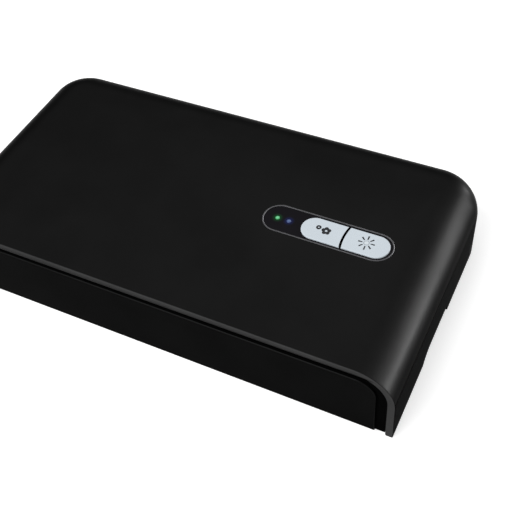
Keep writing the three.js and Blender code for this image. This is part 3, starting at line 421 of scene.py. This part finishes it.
def moulded(name, color, roughness, specular, grain=1600, grain_depth=0.06, mottle=0.12):
    """A moulded plastic or rubber with a fine spark-eroded grain and a faint mottle."""
    mat, tree, shader = material(name)
    vector = place(tree)
    fine = noise(tree, vector, grain, 2.0)
    tree.links.new(mottled(tree, vector, color, mottle), shader.inputs["Base Color"])
    rough = spread(tree, fine, roughness - 0.05, roughness + 0.05)
    tree.links.new(rough, shader.inputs["Roughness"])
    shader.inputs["Specular IOR Level"].default_value = specular
    bump(tree, shader, fine, grain_depth, 0.04)
    return mat


def satin(name, level, roughness, edge, grain, grain_depth, mottle, edge_highlight=None, upright_shade_tint=None):
    """A satin black coat: a faint reflection that hardly grows towards grazing, over a fine grain.

    edge is its tint towards grazing; upright walls may get a lower tint, a painted shade that dims
    their reflection, and sharp edges a painted highlight."""
    mat, tree, shader = material(name)
    vector = place(tree)
    fine = noise(tree, vector, grain, 2.0)
    tone = mottled(tree, vector, linear(level, level, level), mottle)
    # Painted highlight: sharp edges made paler, found from the mesh's pointiness
    if edge_highlight:
        tone = painted_edge_highlight(tree, tone, linear(edge_highlight, edge_highlight, edge_highlight))
    tree.links.new(tone, shader.inputs["Base Color"])
    rough = spread(tree, fine, roughness - 0.04, roughness + 0.04)
    tree.links.new(rough, shader.inputs["Roughness"])
    shader.inputs["Metallic"].default_value = 1.0
    shader.inputs["Specular Tint"].default_value = (edge, edge, edge, 1)
    # Painted shade: upright walls get a lower reflection tint than flat tops, which dims what they
    # mirror
    if upright_shade_tint is not None:
        facing = tree.nodes.new("ShaderNodeTexCoord")
        parts = tree.nodes.new("ShaderNodeSeparateXYZ")
        tree.links.new(facing.outputs["Normal"], parts.inputs[0])
        upward = calculate(tree, "ShaderNodeMath", "ABSOLUTE", parts.outputs["Z"])
        tint = spread(tree, upward.outputs[0], upright_shade_tint, edge, 0.0, 0.2)
        tree.links.new(tint, shader.inputs["Specular Tint"])
    bump(tree, shader, fine, grain_depth, 0.04)
    return mat


def metal(name, color, roughness, streaks=(1, 1, 1), grain=900, depth=0.05):
    """A plated or brushed metal with streaks along the axis that is stretched least."""
    mat, tree, shader = material(name)
    fine = noise(tree, place(tree, streaks), grain, 3.0)
    cloud = noise(tree, place(tree), 60, 3.0)
    duller = tuple(c * 0.82 for c in color)
    tone = blend_colors(tree, spread(tree, cloud, 0, 1), duller, color)
    tree.links.new(tone, shader.inputs["Base Color"])
    shader.inputs["Metallic"].default_value = 1.0
    rough = spread(tree, fine, roughness * 0.8, roughness * 1.25)
    tree.links.new(rough, shader.inputs["Roughness"])
    bump(tree, shader, fine, depth, 0.03)
    return mat


def near(tree, x, y, radius):
    """1 at a point in plan, falling to 0 at radius, in millimetres."""
    kind = "ShaderNodeVectorMath"
    coords = tree.nodes.new("ShaderNodeTexCoord")
    flat = calculate(tree, kind, "MULTIPLY", coords.outputs["Object"], (1, 1, 0))
    away = calculate(tree, kind, "DISTANCE", flat.outputs["Vector"], (x * MM, y * MM, 0))
    return spread(tree, away.outputs["Value"], 1.0, 0.0, 0.0, radius * MM, "SMOOTHERSTEP")


# Finishes

# The last numbers: the level of the painted highlight on sharp edges, and for the lid a lower
# reflection tint on upright walls as painted shade
LID_BLACK = satin("lid_black", 25.5, 0.4, 0.44, 1500, 0.05, 0.08, 36, 0.02)
# A paler copy of the lid's black for the rim's front faces: painted light where they face the
# front
RIM_PAINTED_LIGHT = satin("rim_painted_light", 58, 0.5, 0.43, 1500, 0.05, 0.08, 76)
BASE_BLACK = satin("base_black", 36, 0.55, 0.3, 1300, 0.08, 0.12, 46)
PANEL_BLACK = satin("panel_black", 20, 0.32, 0.472, 900, 0.03, 0.08)
# Painted shade: a near black without reflection, put on faces in gaps and slits where shade falls
RECESS_PAINTED_SHADE = moulded("recess_painted_shade", linear(7, 7, 7), 0.9, 0.0, 1300, 0.05, 0.1)
RUBBER = moulded("rubber_black", linear(24, 24, 24), 0.8, 0.2, 2200, 0.15, 0.2)
SWITCH_BLACK = moulded("switch_black", linear(30, 30, 32), 0.5, 0.4)
LEAD_BLACK = moulded("lead_black", linear(26, 26, 26), 0.55, 0.4)
BUTTON_GREY = moulded("button_grey", linear(201, 210, 217), 0.7, 0.3, 2600, 0.12, 0.02)
INK = moulded("ink_black", linear(14, 16, 20), 0.6, 0.3, 2000, 0.05, 0.1)
PALE_INK = moulded("ink_pale", linear(158, 166, 172), 0.6, 0.3, 2000, 0.05, 0.03)
WHITE_INK = moulded("ink_white", linear(210, 218, 223), 0.6, 0.3, 2000, 0.05, 0.02)
CERAMIC = moulded("ceramic_white", linear(232, 230, 220), 0.45, 0.5, 1200, 0.05, 0.04)
BRIGHT_RING = metal("bright_ring", linear(86, 86, 88), 0.6)
MIRROR_COAT = metal("mirror_coat", linear(196, 198, 201), 0.2, (1, 1, 1), 160, 0.03)
STEEL = metal("plated_steel", linear(168, 170, 173), 0.35, (1, 6, 6), 500, 0.08)
NICKEL = metal("nickel", linear(196, 198, 200), 0.24)


def board_finish():
    """Green solder mask over tracks that stand a little proud and paler."""
    mat, tree, shader = material("solder_mask")
    vector = place(tree)
    brick = tree.nodes.new("ShaderNodeTexBrick")
    brick.inputs["Scale"].default_value = 260
    brick.inputs["Mortar Size"].default_value = 0.06
    brick.inputs["Color1"].default_value = (*linear(24, 82, 52), 1)
    brick.inputs["Color2"].default_value = (*linear(20, 72, 46), 1)
    brick.inputs["Mortar"].default_value = (*linear(44, 112, 74), 1)
    tree.links.new(vector, brick.inputs["Vector"])
    cloud = noise(tree, vector, 120)
    share = spread(tree, cloud, 0, 0.35)
    tone = blend_colors(tree, share, brick.outputs["Color"], linear(14, 56, 36))
    tree.links.new(tone, shader.inputs["Base Color"])
    tree.links.new(spread(tree, cloud, 0.35, 0.5), shader.inputs["Roughness"])
    bump(tree, shader, brick.outputs["Fac"], 0.3, 0.05)
    return mat


def felt_finish():
    mat, tree, shader = material("felt")
    fibres = noise(tree, place(tree, (1, 5, 2)), 1400, 5.0, 0.7)
    share = spread(tree, noise(tree, place(tree), 300, 3.0), 0, 1)
    tone = blend_colors(tree, share, linear(206, 201, 190), linear(226, 221, 210))
    tree.links.new(tone, shader.inputs["Base Color"])
    shader.inputs["Roughness"].default_value = 0.95
    shader.inputs["Sheen Weight"].default_value = 0.4
    bump(tree, shader, fibres, 0.7, 0.2)
    return mat


def quartz_finish():
    mat, tree, shader = material("quartz")
    haze = noise(tree, place(tree), 200, 4.0)
    share = spread(tree, haze, 0, 1)
    tone = blend_colors(tree, share, linear(222, 232, 238), linear(236, 242, 246))
    tree.links.new(tone, shader.inputs["Base Color"])
    tree.links.new(spread(tree, haze, 0.04, 0.1), shader.inputs["Roughness"])
    shader.inputs["Transmission Weight"].default_value = 1.0
    shader.inputs["IOR"].default_value = 1.46
    return mat


def lamp_finish(name, core, rim, strength):
    """A lit lens: bright in its middle, deeper in colour towards its edge."""
    mat, tree, shader = material(name)
    kind = "ShaderNodeVectorMath"
    coords = tree.nodes.new("ShaderNodeTexCoord")
    middle = calculate(tree, kind, "SUBTRACT", coords.outputs["Generated"], (0.5, 0.5, 0))
    flat = calculate(tree, kind, "MULTIPLY", middle.outputs["Vector"], (2, 2, 0))
    radial = calculate(tree, kind, "LENGTH", flat.outputs["Vector"])
    share = spread(tree, radial.outputs["Value"], 0, 1, 0.35, 1.0)
    tone = blend_colors(tree, share, core, rim)
    tree.links.new(tone, shader.inputs["Base Color"])
    tree.links.new(tone, shader.inputs["Emission Color"])
    shader.inputs["Emission Strength"].default_value = strength
    cloud = noise(tree, place(tree), 900)
    tree.links.new(spread(tree, cloud, 0.38, 0.46), shader.inputs["Roughness"])
    return mat


def pod_finish(lamps):
    """Gloss black plate through which the light of the indicators spreads a little."""
    mat, tree, shader = material("pod_black")
    vector = place(tree)
    share = spread(tree, noise(tree, vector, 90), 0, 1)
    tone = blend_colors(tree, share, linear(25, 24, 26), linear(28, 27, 30))
    tree.links.new(tone, shader.inputs["Base Color"])
    tree.links.new(spread(tree, noise(tree, vector, 700), 0.3, 0.38), shader.inputs["Roughness"])
    shader.inputs["Metallic"].default_value = 1.0
    shader.inputs["Specular Tint"].default_value = (0.4, 0.4, 0.4, 1)
    glow = (0.0, 0.0, 0.0)
    for x, y, radius, color in lamps:
        glow = blend_colors(tree, near(tree, x, y, radius), glow, color)
    tree.links.new(glow, shader.inputs["Emission Color"])
    shader.inputs["Emission Strength"].default_value = 1.0
    return mat


BOARD = board_finish()
FELT = felt_finish()
QUARTZ = quartz_finish()
GREEN_X = 36.25
BLUE_X = 41.45
GLOW_REACH = 3.0
GREEN_LENS = lamp_finish("green_lamp", linear(90, 168, 122), linear(24, 112, 52), 0.6)
BLUE_LENS = lamp_finish("blue_lamp", linear(60, 80, 116), linear(26, 40, 84), 0.55)
POD_BLACK = pod_finish([
    (GREEN_X, POD[1], GLOW_REACH, linear(8, 66, 28)),
    (BLUE_X, POD[1], GLOW_REACH, linear(16, 26, 74)),
])

# The finish of each CAD node, by the start of its name
CAD_FINISHES = [
    (("rubber_foot", "light_seal"), RUBBER),
    (("base_screw", "liner_screw", "board_screw", "hinge_pin", "usb_socket"), STEEL),
    (("base_emitter_board", "lid_emitter_board"), BOARD),
    (("main_board", "control_board", "lid_sensor"), BOARD),
    (("base_emitter_1", "base_emitter_2", "base_emitter_3"), CERAMIC),
    (("lid_emitter_1", "lid_emitter_2", "lid_emitter_3", "aroma_heater"), CERAMIC),
    (("base_window", "lid_window"), QUARTZ),
    (("base_magnet", "lid_magnet"), NICKEL),
    (("base_hinge_lead", "base_emitter_lead", "heater_lead", "sensor_lead"), LEAD_BLACK),
    (("lid_hinge_lead", "control_lead"), LEAD_BLACK),
    (("aroma_switch", "sanitize_switch"), SWITCH_BLACK),
    (("aroma_cup", "base_shell"), BASE_BLACK),
    (("lid_shell",), LID_BLACK),
    (("front_panel",), PANEL_BLACK),
    (("control_plate",), POD_BLACK),
    (("chamber_tray", "lid_liner"), MIRROR_COAT),
    (("aroma_pad",), FELT),
    (("control_bezel",), BRIGHT_RING),
    (("aroma_button", "sanitize_button"), BUTTON_GREY),
    (("green_indicator",), GREEN_LENS),
    (("blue_indicator",), BLUE_LENS),
]


def finish_nodes():
    for name, obj in nodes.items():
        for starts, finish in CAD_FINISHES:
            if name.startswith(starts):
                if not obj.material_slots:
                    raise ValueError(f"{name} has no material slot")
                for holder in obj.material_slots:
                    holder.material = finish
                break
        else:
            raise ValueError(f"{name} has no finish")


finish_nodes()


# Solids that the lid and the base share


def tub(inset, front, foot, top, radius, steps=16):
    """The case's plan raised from its foot, its top edge rounded at the sides and the back."""
    rings = [(0, foot)]
    for i in range(steps + 1):
        angle = math.radians(90 * i / steps)
        rings.append((radius * (1 - math.cos(angle)), top - radius + radius * math.sin(angle)))
    return loft([raised(plan_path(inset + grown, front), z) for grown, z in rings])


def plan_block(inset, front, z0, z1):
    return prism(plan_path(inset, front), z0, z1)


def arch(side, top, foot, radius, y0, y1, steps=16):
    """The case's front view, round at its top corners, carried along Y."""
    points = [(-side, foot)]
    points += arc(-side + radius, top - radius, radius, 180, 90, steps)
    points += arc(side - radius, top - radius, radius, 90, 0, steps)
    points.append((side, foot))
    return prism_y(points, y0, y1)


def round_edges(obj, chosen, width, segments=4):
    """Rounds the edges for which chosen(a, b) holds, a and b being their ends in millimetres."""
    bm = bmesh.new()
    bm.from_mesh(obj.data)
    edges = []
    for edge in bm.edges:
        a, b = (v.co / MM for v in edge.verts)
        if chosen(a, b) and edge.calc_face_angle(0) > math.radians(30):
            edges.append(edge)
    bmesh.ops.bevel(
        bm,
        geom=edges,
        offset=width * MM,
        offset_type="OFFSET",
        segments=segments,
        profile=0.5,
        affect="EDGES",
        clamp_overlap=False,
    )
    bm.to_mesh(obj.data)
    bm.free()


def at(value, a, b, axis, tolerance=0.01):
    return abs(a[axis] - value) < tolerance and abs(b[axis] - value) < tolerance


def barrels(spans, radius, extra=0.0):
    return [cylinder_x(x0 - extra, x1 + extra, BACK, HINGE_Z, radius) for x0, x1 in spans]


def hinge_bores(lead_from, lead_to):
    """Bores along the hinge's axis for its two pins and the lid's lead."""
    spans = [(x - PIN_REACH, x + PIN_REACH) for x in PIN_PLACES]
    return barrels(spans, PIN_BORE) + barrels([(lead_from, lead_to)], LEAD_BORE)


# Lid shell


def notch(side):
    """The finger notch's outline in Y and Z, carried through one side wall."""
    start, end, roof = -25.6, 5.4, 6.2
    points = [(start, -1), (end, -1)]
    points += curve((end, LID_FOOT), (end, roof), (end - 3, roof), 8)
    points += curve((start + 9, roof), (start + 3, roof), (start, LID_FOOT), 12)
    inner = RIGHT - LID_WALL - LID_GAP / 2
    x0, x1 = (inner, RIGHT + 1) if side > 0 else (-RIGHT - 1, -inner)
    return prism_x(points, x0, x1)


def front_edge(a, b):
    """Whether an edge of the lid lies round its open front, above its foot."""
    return at(FRONT, a, b, Y) and not at(LID_FOOT, a, b, Z)


def lid_skin():
    obj = new_object("lid_skin", tub(0, FRONT, BOTTOM - EDGE, TOP, EDGE))
    below_foot = box_mesh(-BEYOND, BEYOND, -BEYOND, BEYOND, DEEP, LID_FOOT)
    combine(obj, [below_foot], "DIFFERENCE")
    round_edges(obj, front_edge, 0.45)
    hollow = tub(LID_WALL, FRONT - 20, BOTTOM - EDGE, CEILING, EDGE - LID_WALL)
    combine(obj, [hollow], "DIFFERENCE")
    round_edges(obj, front_edge, 0.55)
    low_rear = box_mesh(-BEYOND, BEYOND, LOW_SIDE_END, BEYOND, DEEP, HINGE_Z + LID_GAP / 2)
    pod_outline = oval(*POD, POD_LENGTH + POD_ROOM, POD_WIDTH + POD_ROOM)
    pod_hole = prism(pod_outline, CEILING - 1, TOP + 1)
    combine(obj, [low_rear, notch(-1), notch(1), pod_hole], "DIFFERENCE")
    combine(obj, barrels(BASE_KNUCKLES, BARREL + KNUCKLE_ROOM, KNUCKLE_ROOM), "DIFFERENCE")
    combine(obj, barrels(LID_KNUCKLES, BARREL), "UNION")
    combine(obj, hinge_bores(-22, -6), "DIFFERENCE")
    smooth(obj)
    finish_piece(obj, LID_BLACK, "lid", "shell_black", "lid_shell")
    # Painted light: the rim's front faces get the paler copy of the lid's black
    paint(obj, RIM_PAINTED_LIGHT, lambda centre, normal: normal.y < -0.8 and centre.y < FRONT + 0.5)


# Base shell


def port(width, height, z, y0, y1):
    """An opening with round ends, carried along Y."""
    return prism_y(oval(0, z, width, height, 14), y0, y1)


def base_skin():
    obj = new_object("base_skin", plan_block(NEST, BASE_FACE, BOTTOM, SPLIT))
    skirt_top = HINGE_Z - LID_GAP / 2
    skirt = new_object("skirt", plan_block(0, LOW_SIDE_END + LID_GAP, BOTTOM, skirt_top))
    round_edges(skirt, lambda a, b: at(BOTTOM, a, b, Z), 0.8)
    round_edges(skirt, lambda a, b: at(skirt_top, a, b, Z), 0.35, 3)
    wall_top = CEILING - LID_GAP
    wall = arch(RIGHT - NEST, wall_top, BOTTOM, EDGE - NEST, BASE_FACE, BASE_WALL_INNER)
    combine(obj, [as_tool(skirt), wall], "UNION")
    hollow = plan_block(BASE_INNER, BASE_WALL_INNER, FLOOR_TOP, SPLIT + 20)
    socket_pocket = box_mesh(-6.5, 6.5, BACK - BASE_INNER - 1, BACK - 2.4, FLOOR_TOP, 8.45)
    socket_mouth = port(9.6, 3.8, 6.55, BACK - 4, BACK + 1)
    combine(obj, [hollow, socket_pocket, socket_mouth], "DIFFERENCE")
    combine(obj, barrels(LID_KNUCKLES, BARREL + KNUCKLE_ROOM, KNUCKLE_ROOM), "DIFFERENCE")
    combine(obj, barrels(BASE_KNUCKLES, BARREL), "UNION")
    feet = [cylinder_z(x, y, FOOT_HOLE, 0, BOTTOM + 0.8) for x, y in FEET]
    heads = [cylinder_z(x, y, SCREW_HEAD, 0, 2.4) for x, y in SCREWS]
    shanks = [cylinder_z(x, y, SCREW_SHANK, 0, SPLIT) for x, y in SCREWS]
    combine(obj, hinge_bores(-25.5, -10) + feet + heads + shanks, "DIFFERENCE")
    smooth(obj)
    finish_piece(obj, BASE_BLACK, "base", "base_black", "base_shell")
    # Painted shade: the base's front wall, seen through the gap under the lid's rim, is made near
    # black
    paint(obj, RECESS_PAINTED_SHADE, lambda centre, normal: centre.y < BASE_FACE + 0.1)


def front_plate():
    side, top, foot = 102.4, 32.9, 1.8
    y0, y1 = -61.35, -60.15
    obj = new_object("front_plate", arch(side, top, foot, EDGE - 7.6, y0, y1))
    round_edges(obj, lambda a, b: at(y0, a, b, Y), 0.4)
    smooth(obj)
    finish_piece(obj, PANEL_BLACK, "base", "panel_black", "front_panel")
    # Painted shade: the plate's edges and back, in the gap under the rim, are made near black
    paint(obj, RECESS_PAINTED_SHADE, lambda centre, normal: normal.y > -0.3)


# Tray and liner: drawn trays with round corners and a round turn at the floor


def drawn_hollow(floor, mouth, steps=8):
    """The space inside a drawn tray, from its floor to beyond its mouth."""
    x, y0, y1, corner = TRAY_HOLLOW
    way = 1 if mouth > floor else -1
    rings = []
    for i in range(steps + 1):
        angle = math.radians(90 * i / steps)
        inset = TRAY_TURN * (1 - math.sin(angle))
        rings.append((inset, floor + way * TRAY_TURN * (1 - math.cos(angle))))
    rings.append((0, mouth))
    return loft([
        raised(rounded_rect(-x + inset, x - inset, y0 + inset, y1 - inset, corner - inset), z)
        for inset, z in rings
    ])


def window_cut(x, under, top, lip_under):
    """The window's opening and the rebate round it."""
    through = box_mesh(x - 40.2, x + 40.2, -5.8, 1.6, under - 1, top + 1)
    rebate = box_mesh(x - 41.2, x + 41.2, -6.8, 2.6, lip_under, top + 1)
    return [through, rebate]


def rib(y):
    """A low round-topped rib along the tray's floor."""
    foot, half = 11.9, 0.6
    section = [(-half, foot)]
    section += [(-c * half, foot + 1 + s) for c, s in arc(0, 0, 1, 0, 180, 8)]
    section.append((half, foot))
    rings = []
    for x, scale in ((-75, 0.5), (-74.4, 0.85), (-73.6, 1), (73.6, 1), (74.4, 0.85), (75, 0.5)):
        rings.append([(x, y + a * scale, foot + (z - foot) * scale) for a, z in section])
    return loft(rings)


def tray_skin():
    flange = plan_block(BASE_INNER + TRAY_ROOM, BASE_WALL_INNER + TRAY_ROOM, 20.5, SPLIT)
    obj = new_object("tray_skin", flange)
    combine(obj, [prism(rounded_rect(*TRAY_WALLS), TRAY_UNDER, SPLIT)], "UNION")
    combine(obj, [drawn_hollow(TRAY_FLOOR, 26)], "DIFFERENCE")
    combine(obj, [rib(y) for y in (-22.1, 17.9)], "UNION")
    groove = new_object("groove", plan_block(9.2, FRONT + 8.7, 21.9, 26))
    combine(groove, [plan_block(11.6, FRONT + 11.1, 20, 28)], "DIFFERENCE")
    cup_hole = cylinder_z(80, -34.1, 8.25, 10, 20, 48)
    cuts = [as_tool(groove), cup_hole] + window_cut(0, TRAY_UNDER, TRAY_FLOOR, 11.7)
    combine(obj, cuts, "DIFFERENCE")
    smooth(obj)
    finish_piece(obj, MIRROR_COAT, "base", "reflector", "chamber_tray")


def liner_skin():
    flange = plan_block(LID_WALL + TRAY_ROOM, BASE_WALL_INNER + TRAY_ROOM, LINER_UNDER, 25.2)
    obj = new_object("liner_skin", flange)
    combine(obj, [prism(rounded_rect(*TRAY_WALLS), LINER_UNDER, LINER_TOP)], "UNION")
    combine(obj, [drawn_hollow(LINER_ROOF, 20)], "DIFFERENCE")
    cuts = window_cut(WINDOW_X, LINER_ROOF, LINER_TOP, 30.0)
    cuts += [cylinder_z(x, y, SCREW_HEAD, 22, 24.45) for x, y in SCREWS]
    combine(obj, cuts, "DIFFERENCE")
    smooth(obj)
    finish_piece(obj, MIRROR_COAT, "lid", "reflector", "lid_liner")


# Control pod


def pod_ring():
    # Round the ring's section: the inset from the pod's outline, and the height
    section = [
        (-1.2, 35.3), (-1.2, 36.2), (0, 36.2), (0, 38.9), (0, 39.08), (0.05, 39.17), (0.14, 39.23),
        (0.26, 39.25), (0.36, 39.25), (0.48, 39.22), (0.56, 39.15), (0.6, 39.05), (0.6, 38.8),
        (0.6, 36.2), (2.3, 36.2), (2.3, 35.3),
    ]
    rings = []
    for inset, z in section:
        outline = oval(*POD, POD_LENGTH - 2 * inset, POD_WIDTH - 2 * inset, POD_STEPS)
        rings.append(raised(outline, z))
    obj = new_object("pod_ring", wrapped(rings))
    smooth(obj, 50)
    finish_piece(obj, BRIGHT_RING, "lid", "bezel", "control_bezel")


def pod_plate():
    outline = oval(*POD, POD_LENGTH - PLATE_LOSS, POD_WIDTH - PLATE_LOSS, POD_STEPS)
    obj = new_object("pod_plate", prism(outline, 36.3, PLATE_TOP))
    round_edges(obj, lambda a, b: at(PLATE_TOP, a, b, Z), 0.15, 2)
    length, width = BUTTONS_LENGTH + POD_ROOM, BUTTON_WIDTH + POD_ROOM
    cuts = [prism(oval(BUTTONS_X, POD[1], length, width, POD_STEPS), 35, 41)]
    cuts += [cylinder_z(x, POD[1], 1.15, 35, 41, LENS_STEPS) for x in (GREEN_X, BLUE_X)]
    combine(obj, cuts, "DIFFERENCE")
    smooth(obj)
    finish_piece(obj, POD_BLACK, "lid", "panel_black", "control_plate")


def lens(name, x, finish, slot, replaced):
    # Up the lens: its radius and its height
    section = [(1.0, 33.6), (1.0, 38.75), (0.97, 38.86), (0.88, 38.93), (0.7, 38.98), (0.4, 39.0)]
    rings = [raised(circle(x, POD[1], radius, LENS_STEPS), z) for radius, z in section]
    obj = new_object(name, loft(rings))
    smooth(obj, 60)
    finish_piece(obj, finish, "lid", slot, replaced)


def button_outline(side):
    """Half of the buttons' oval, bowed to one side along the slit."""
    radius = BUTTON_WIDTH / 2
    reach = BUTTONS_LENGTH / 2 - radius
    slit = side * BUTTON_SLIT / 2
    bowed = slit - 2 * BUTTON_BULGE
    points = curve((slit, side * radius), (bowed, 0), (slit, -side * radius), 24)
    start = -90 if side > 0 else 90
    points += arc(side * reach, 0, radius, start, start + 180, 32)
    return [(BUTTONS_X + x, POD[1] + y) for x, y in points]


def button_cap(name, side, body, replaced):
    obj = new_object(name, prism(button_outline(side), 36.8, CAP_TOP))
    round_edges(obj, lambda a, b: at(CAP_TOP, a, b, Z), 0.4, 5)
    smooth(obj)
    finish_piece(obj, BUTTON_GREY, body, "button_grey", replaced)

    # Painted shade: the slit's walls and the lower part of their rounding are made near black
    def slit_wall(centre, normal):
        faces_slit = side * normal.x < -0.3 and normal.z < 0.8
        return faces_slit and abs(centre.x - BUTTONS_X) < 3

    paint(obj, RECESS_PAINTED_SHADE, slit_wall)


def inlay(name, outlines, ink, body):
    """A printed sign, a little proud of the button that carries it."""
    bm = bmesh.new()
    for outline, hole in outlines:
        rows = add_rings(bm, [raised(points, SIGN_TOP) for points in (outline, hole) if points])
        if hole:
            bridge(bm, *rows)
        else:
            bm.faces.new(rows[0])
    lower = bmesh.ops.extrude_face_region(bm, geom=list(bm.faces))
    moved = [v for v in lower["geom"] if isinstance(v, bmesh.types.BMVert)]
    bmesh.ops.translate(bm, verts=moved, vec=Vector((0, 0, -SIGN_DEPTH)) * MM)
    bmesh.ops.recalc_face_normals(bm, faces=bm.faces)
    finish_piece(new_object(name, bm), ink, body, "button_grey")


def flower(cx, cy, turn):
    """The outline of five round petals about one middle."""
    reach, petal = 1.2, 0.9
    points = []
    for i in range(60):
        degrees = 6 * i
        off = math.radians((degrees - turn + 36) % 72 - 36)
        radius = reach * math.cos(off) + math.sqrt(petal**2 - (reach * math.sin(off)) ** 2)
        angle = math.radians(degrees)
        points.append((cx + radius * math.cos(angle), cy + radius * math.sin(angle)))
    return points


def ray(cx, cy, degrees, inner, outer, width):
    """One of the sun's rays, a little wider at its outer end."""
    cos, sin = math.cos(math.radians(degrees)), math.sin(math.radians(degrees))
    narrow, wide = width * 0.35, width / 2
    corners = ((inner, -narrow), (outer, -wide), (outer, wide), (inner, narrow))
    return [(cx + a * cos - b * sin, cy + a * sin + b * cos) for a, b in corners]


def signs():
    petals = (58.2, -3.3)
    drop = (54.6, -2.55)
    sun = (75.75, -3.2)
    inlay("flower_sign", [
        (flower(*petals, 28), circle(*petals, 0.52)),
        (circle(*drop, 1.14), circle(*drop, 0.34)),
    ], INK, "aroma_button")
    rays = []
    for i in range(8):
        outer = 3.55 + 0.25 * (i % 4 == 2)
        rays.append((ray(*sun, 2 + 45 * i, 1.7, outer, 0.66), None))
    inlay("sun_rays", rays, INK, "sanitize_button")
    inlay("sun_rim", [(circle(*sun, 1.25), circle(*sun, 0.95))], PALE_INK, "sanitize_button")
    inlay("sun_disc", [(circle(*sun, 0.9), None)], WHITE_INK, "sanitize_button")


lid_skin()
base_skin()
front_plate()
tray_skin()
liner_skin()
pod_ring()
pod_plate()
lens("green_lens", GREEN_X, GREEN_LENS, "green_lens", "green_indicator")
lens("blue_lens", BLUE_X, BLUE_LENS, "blue_lens", "blue_indicator")
button_cap("aroma_cap", -1, "aroma_button", "aroma_button")
button_cap("sanitize_cap", 1, "sanitize_button", "sanitize_button")
signs()


# Floor

# Half the floor's size and the reach of the lamps' light on it, in millimetres,
# and what makes it white under that light and away from it
FLOOR = 3000
LIT_REACH = 2400
NEAR_GLOW = 0.52
FAR_GLOW = 0.66


def seen(tree):
    """1 where the background is looked at, mirrored or seen through glass, and 0 for its light."""
    paths = tree.nodes.new("ShaderNodeLightPath")
    value = paths.outputs["Is Camera Ray"]
    for name in ("Is Glossy Ray", "Is Transmission Ray"):
        either = calculate(tree, "ShaderNodeMath", "MAXIMUM", value, paths.outputs[name])
        value = either.outputs[0]
    return value


def floor_finish():
    """White where it is seen or mirrored, under the case's soft shadow, and pale for the light."""
    mat, tree, shader = material("floor_white")
    share = spread(tree, noise(tree, place(tree), 8), 0, 1)
    tone = blend_colors(tree, share, linear(236, 236, 236), linear(240, 240, 240))
    tree.links.new(tone, shader.inputs["Base Color"])
    shader.inputs["Roughness"].default_value = 0.9
    shader.inputs["Specular IOR Level"].default_value = 0.1
    shader.inputs["Emission Color"].default_value = (1, 1, 1, 1)
    glow = spread(tree, near(tree, 0, 0, LIT_REACH), FAR_GLOW, NEAR_GLOW, 0.2, 0.95)
    lift = calculate(tree, "ShaderNodeMath", "MULTIPLY", seen(tree), glow)
    tree.links.new(lift.outputs[0], shader.inputs["Emission Strength"])
    return mat


def floor():
    obj = new_object("floor", box_mesh(-FLOOR, FLOOR, -FLOOR, FLOOR, -20, 0))
    obj.data.materials.append(floor_finish())


floor()


# Camera and light

# The camera as fitted to the photograph: its place in millimetres, and its own axes
CAMERA_PLACE = Vector((154.962, -223.422, 305.367))
CAMERA_RIGHT = Vector((0.89612, 0.43751, -0.07449))
CAMERA_DOWN = Vector((0.28892, -0.70252, -0.65038))
CAMERA_FORWARD = Vector((-0.33688, 0.5613, -0.75595))

# The lamps behind the case on the right: how far off, and the way their widths run
RIM_DISTANCE = 1.3
RIM_ALONG = (-0.483, 0.513, 0.709)

WORLD_LEVEL = 0.57


def camera():
    data = bpy.data.cameras.new("camera")
    data.lens = 61.6
    data.sensor_width = 36
    data.clip_start = 0.01
    data.clip_end = 20
    obj = bpy.data.objects.new("camera", data)
    bpy.context.scene.collection.objects.link(obj)
    turn = Matrix((CAMERA_RIGHT, -CAMERA_DOWN, -CAMERA_FORWARD)).transposed().to_4x4()
    obj.matrix_world = Matrix.Translation(CAMERA_PLACE * MM) @ turn
    bpy.context.scene.camera = obj


def lamp(name, direction, distance, along, width, height, power):
    """A soft box that faces the case from a direction, its width along a second one."""
    data = bpy.data.lights.new(name, "AREA")
    data.shape = "RECTANGLE"
    data.size = width
    data.size_y = height
    data.energy = power
    obj = bpy.data.objects.new(name, data)
    bpy.context.scene.collection.objects.link(obj)
    way = Vector(direction).normalized()
    side = Vector(along)
    side = (side - way * side.dot(way)).normalized()
    turn = Matrix((side, way.cross(side), way)).transposed().to_4x4()
    obj.matrix_world = Matrix.Translation(way * distance) @ turn
    return obj


def rim_lamp(name, direction, width, height, power):
    """A narrow lamp for the light along the case's right edge, seen in reflections only."""
    obj = lamp(name, direction, RIM_DISTANCE, RIM_ALONG, width, height, power)
    obj.visible_diffuse = False


def world(level):
    """White where it is seen, and a soft light of the given level."""
    scene_world = bpy.data.worlds.new("world")
    scene_world.use_nodes = True
    tree = scene_world.node_tree
    background = tree.nodes["Background"]
    background.inputs["Color"].default_value = (1, 1, 1, 1)
    tree.links.new(spread(tree, seen(tree), level, 1, 0, 1), background.inputs["Strength"])
    bpy.context.scene.world = scene_world


camera()
lamp("key", (-0.35, -0.75, 0.9), 1.6, (0.9, -0.42, 0), 1.2, 1.0, 18)
rim_lamp("edge", (0.77, 0.6, 0.19), 0.8, 0.08, 16.5)
rim_lamp("edge_low", (0.9, 0.43, 0.03), 0.26, 0.1, 8)
rim_lamp("corner", (0.46, 0.89, 0.04), 0.22, 0.12, 30)
world(WORLD_LEVEL)
bpy.context.scene.view_settings.view_transform = "Standard"
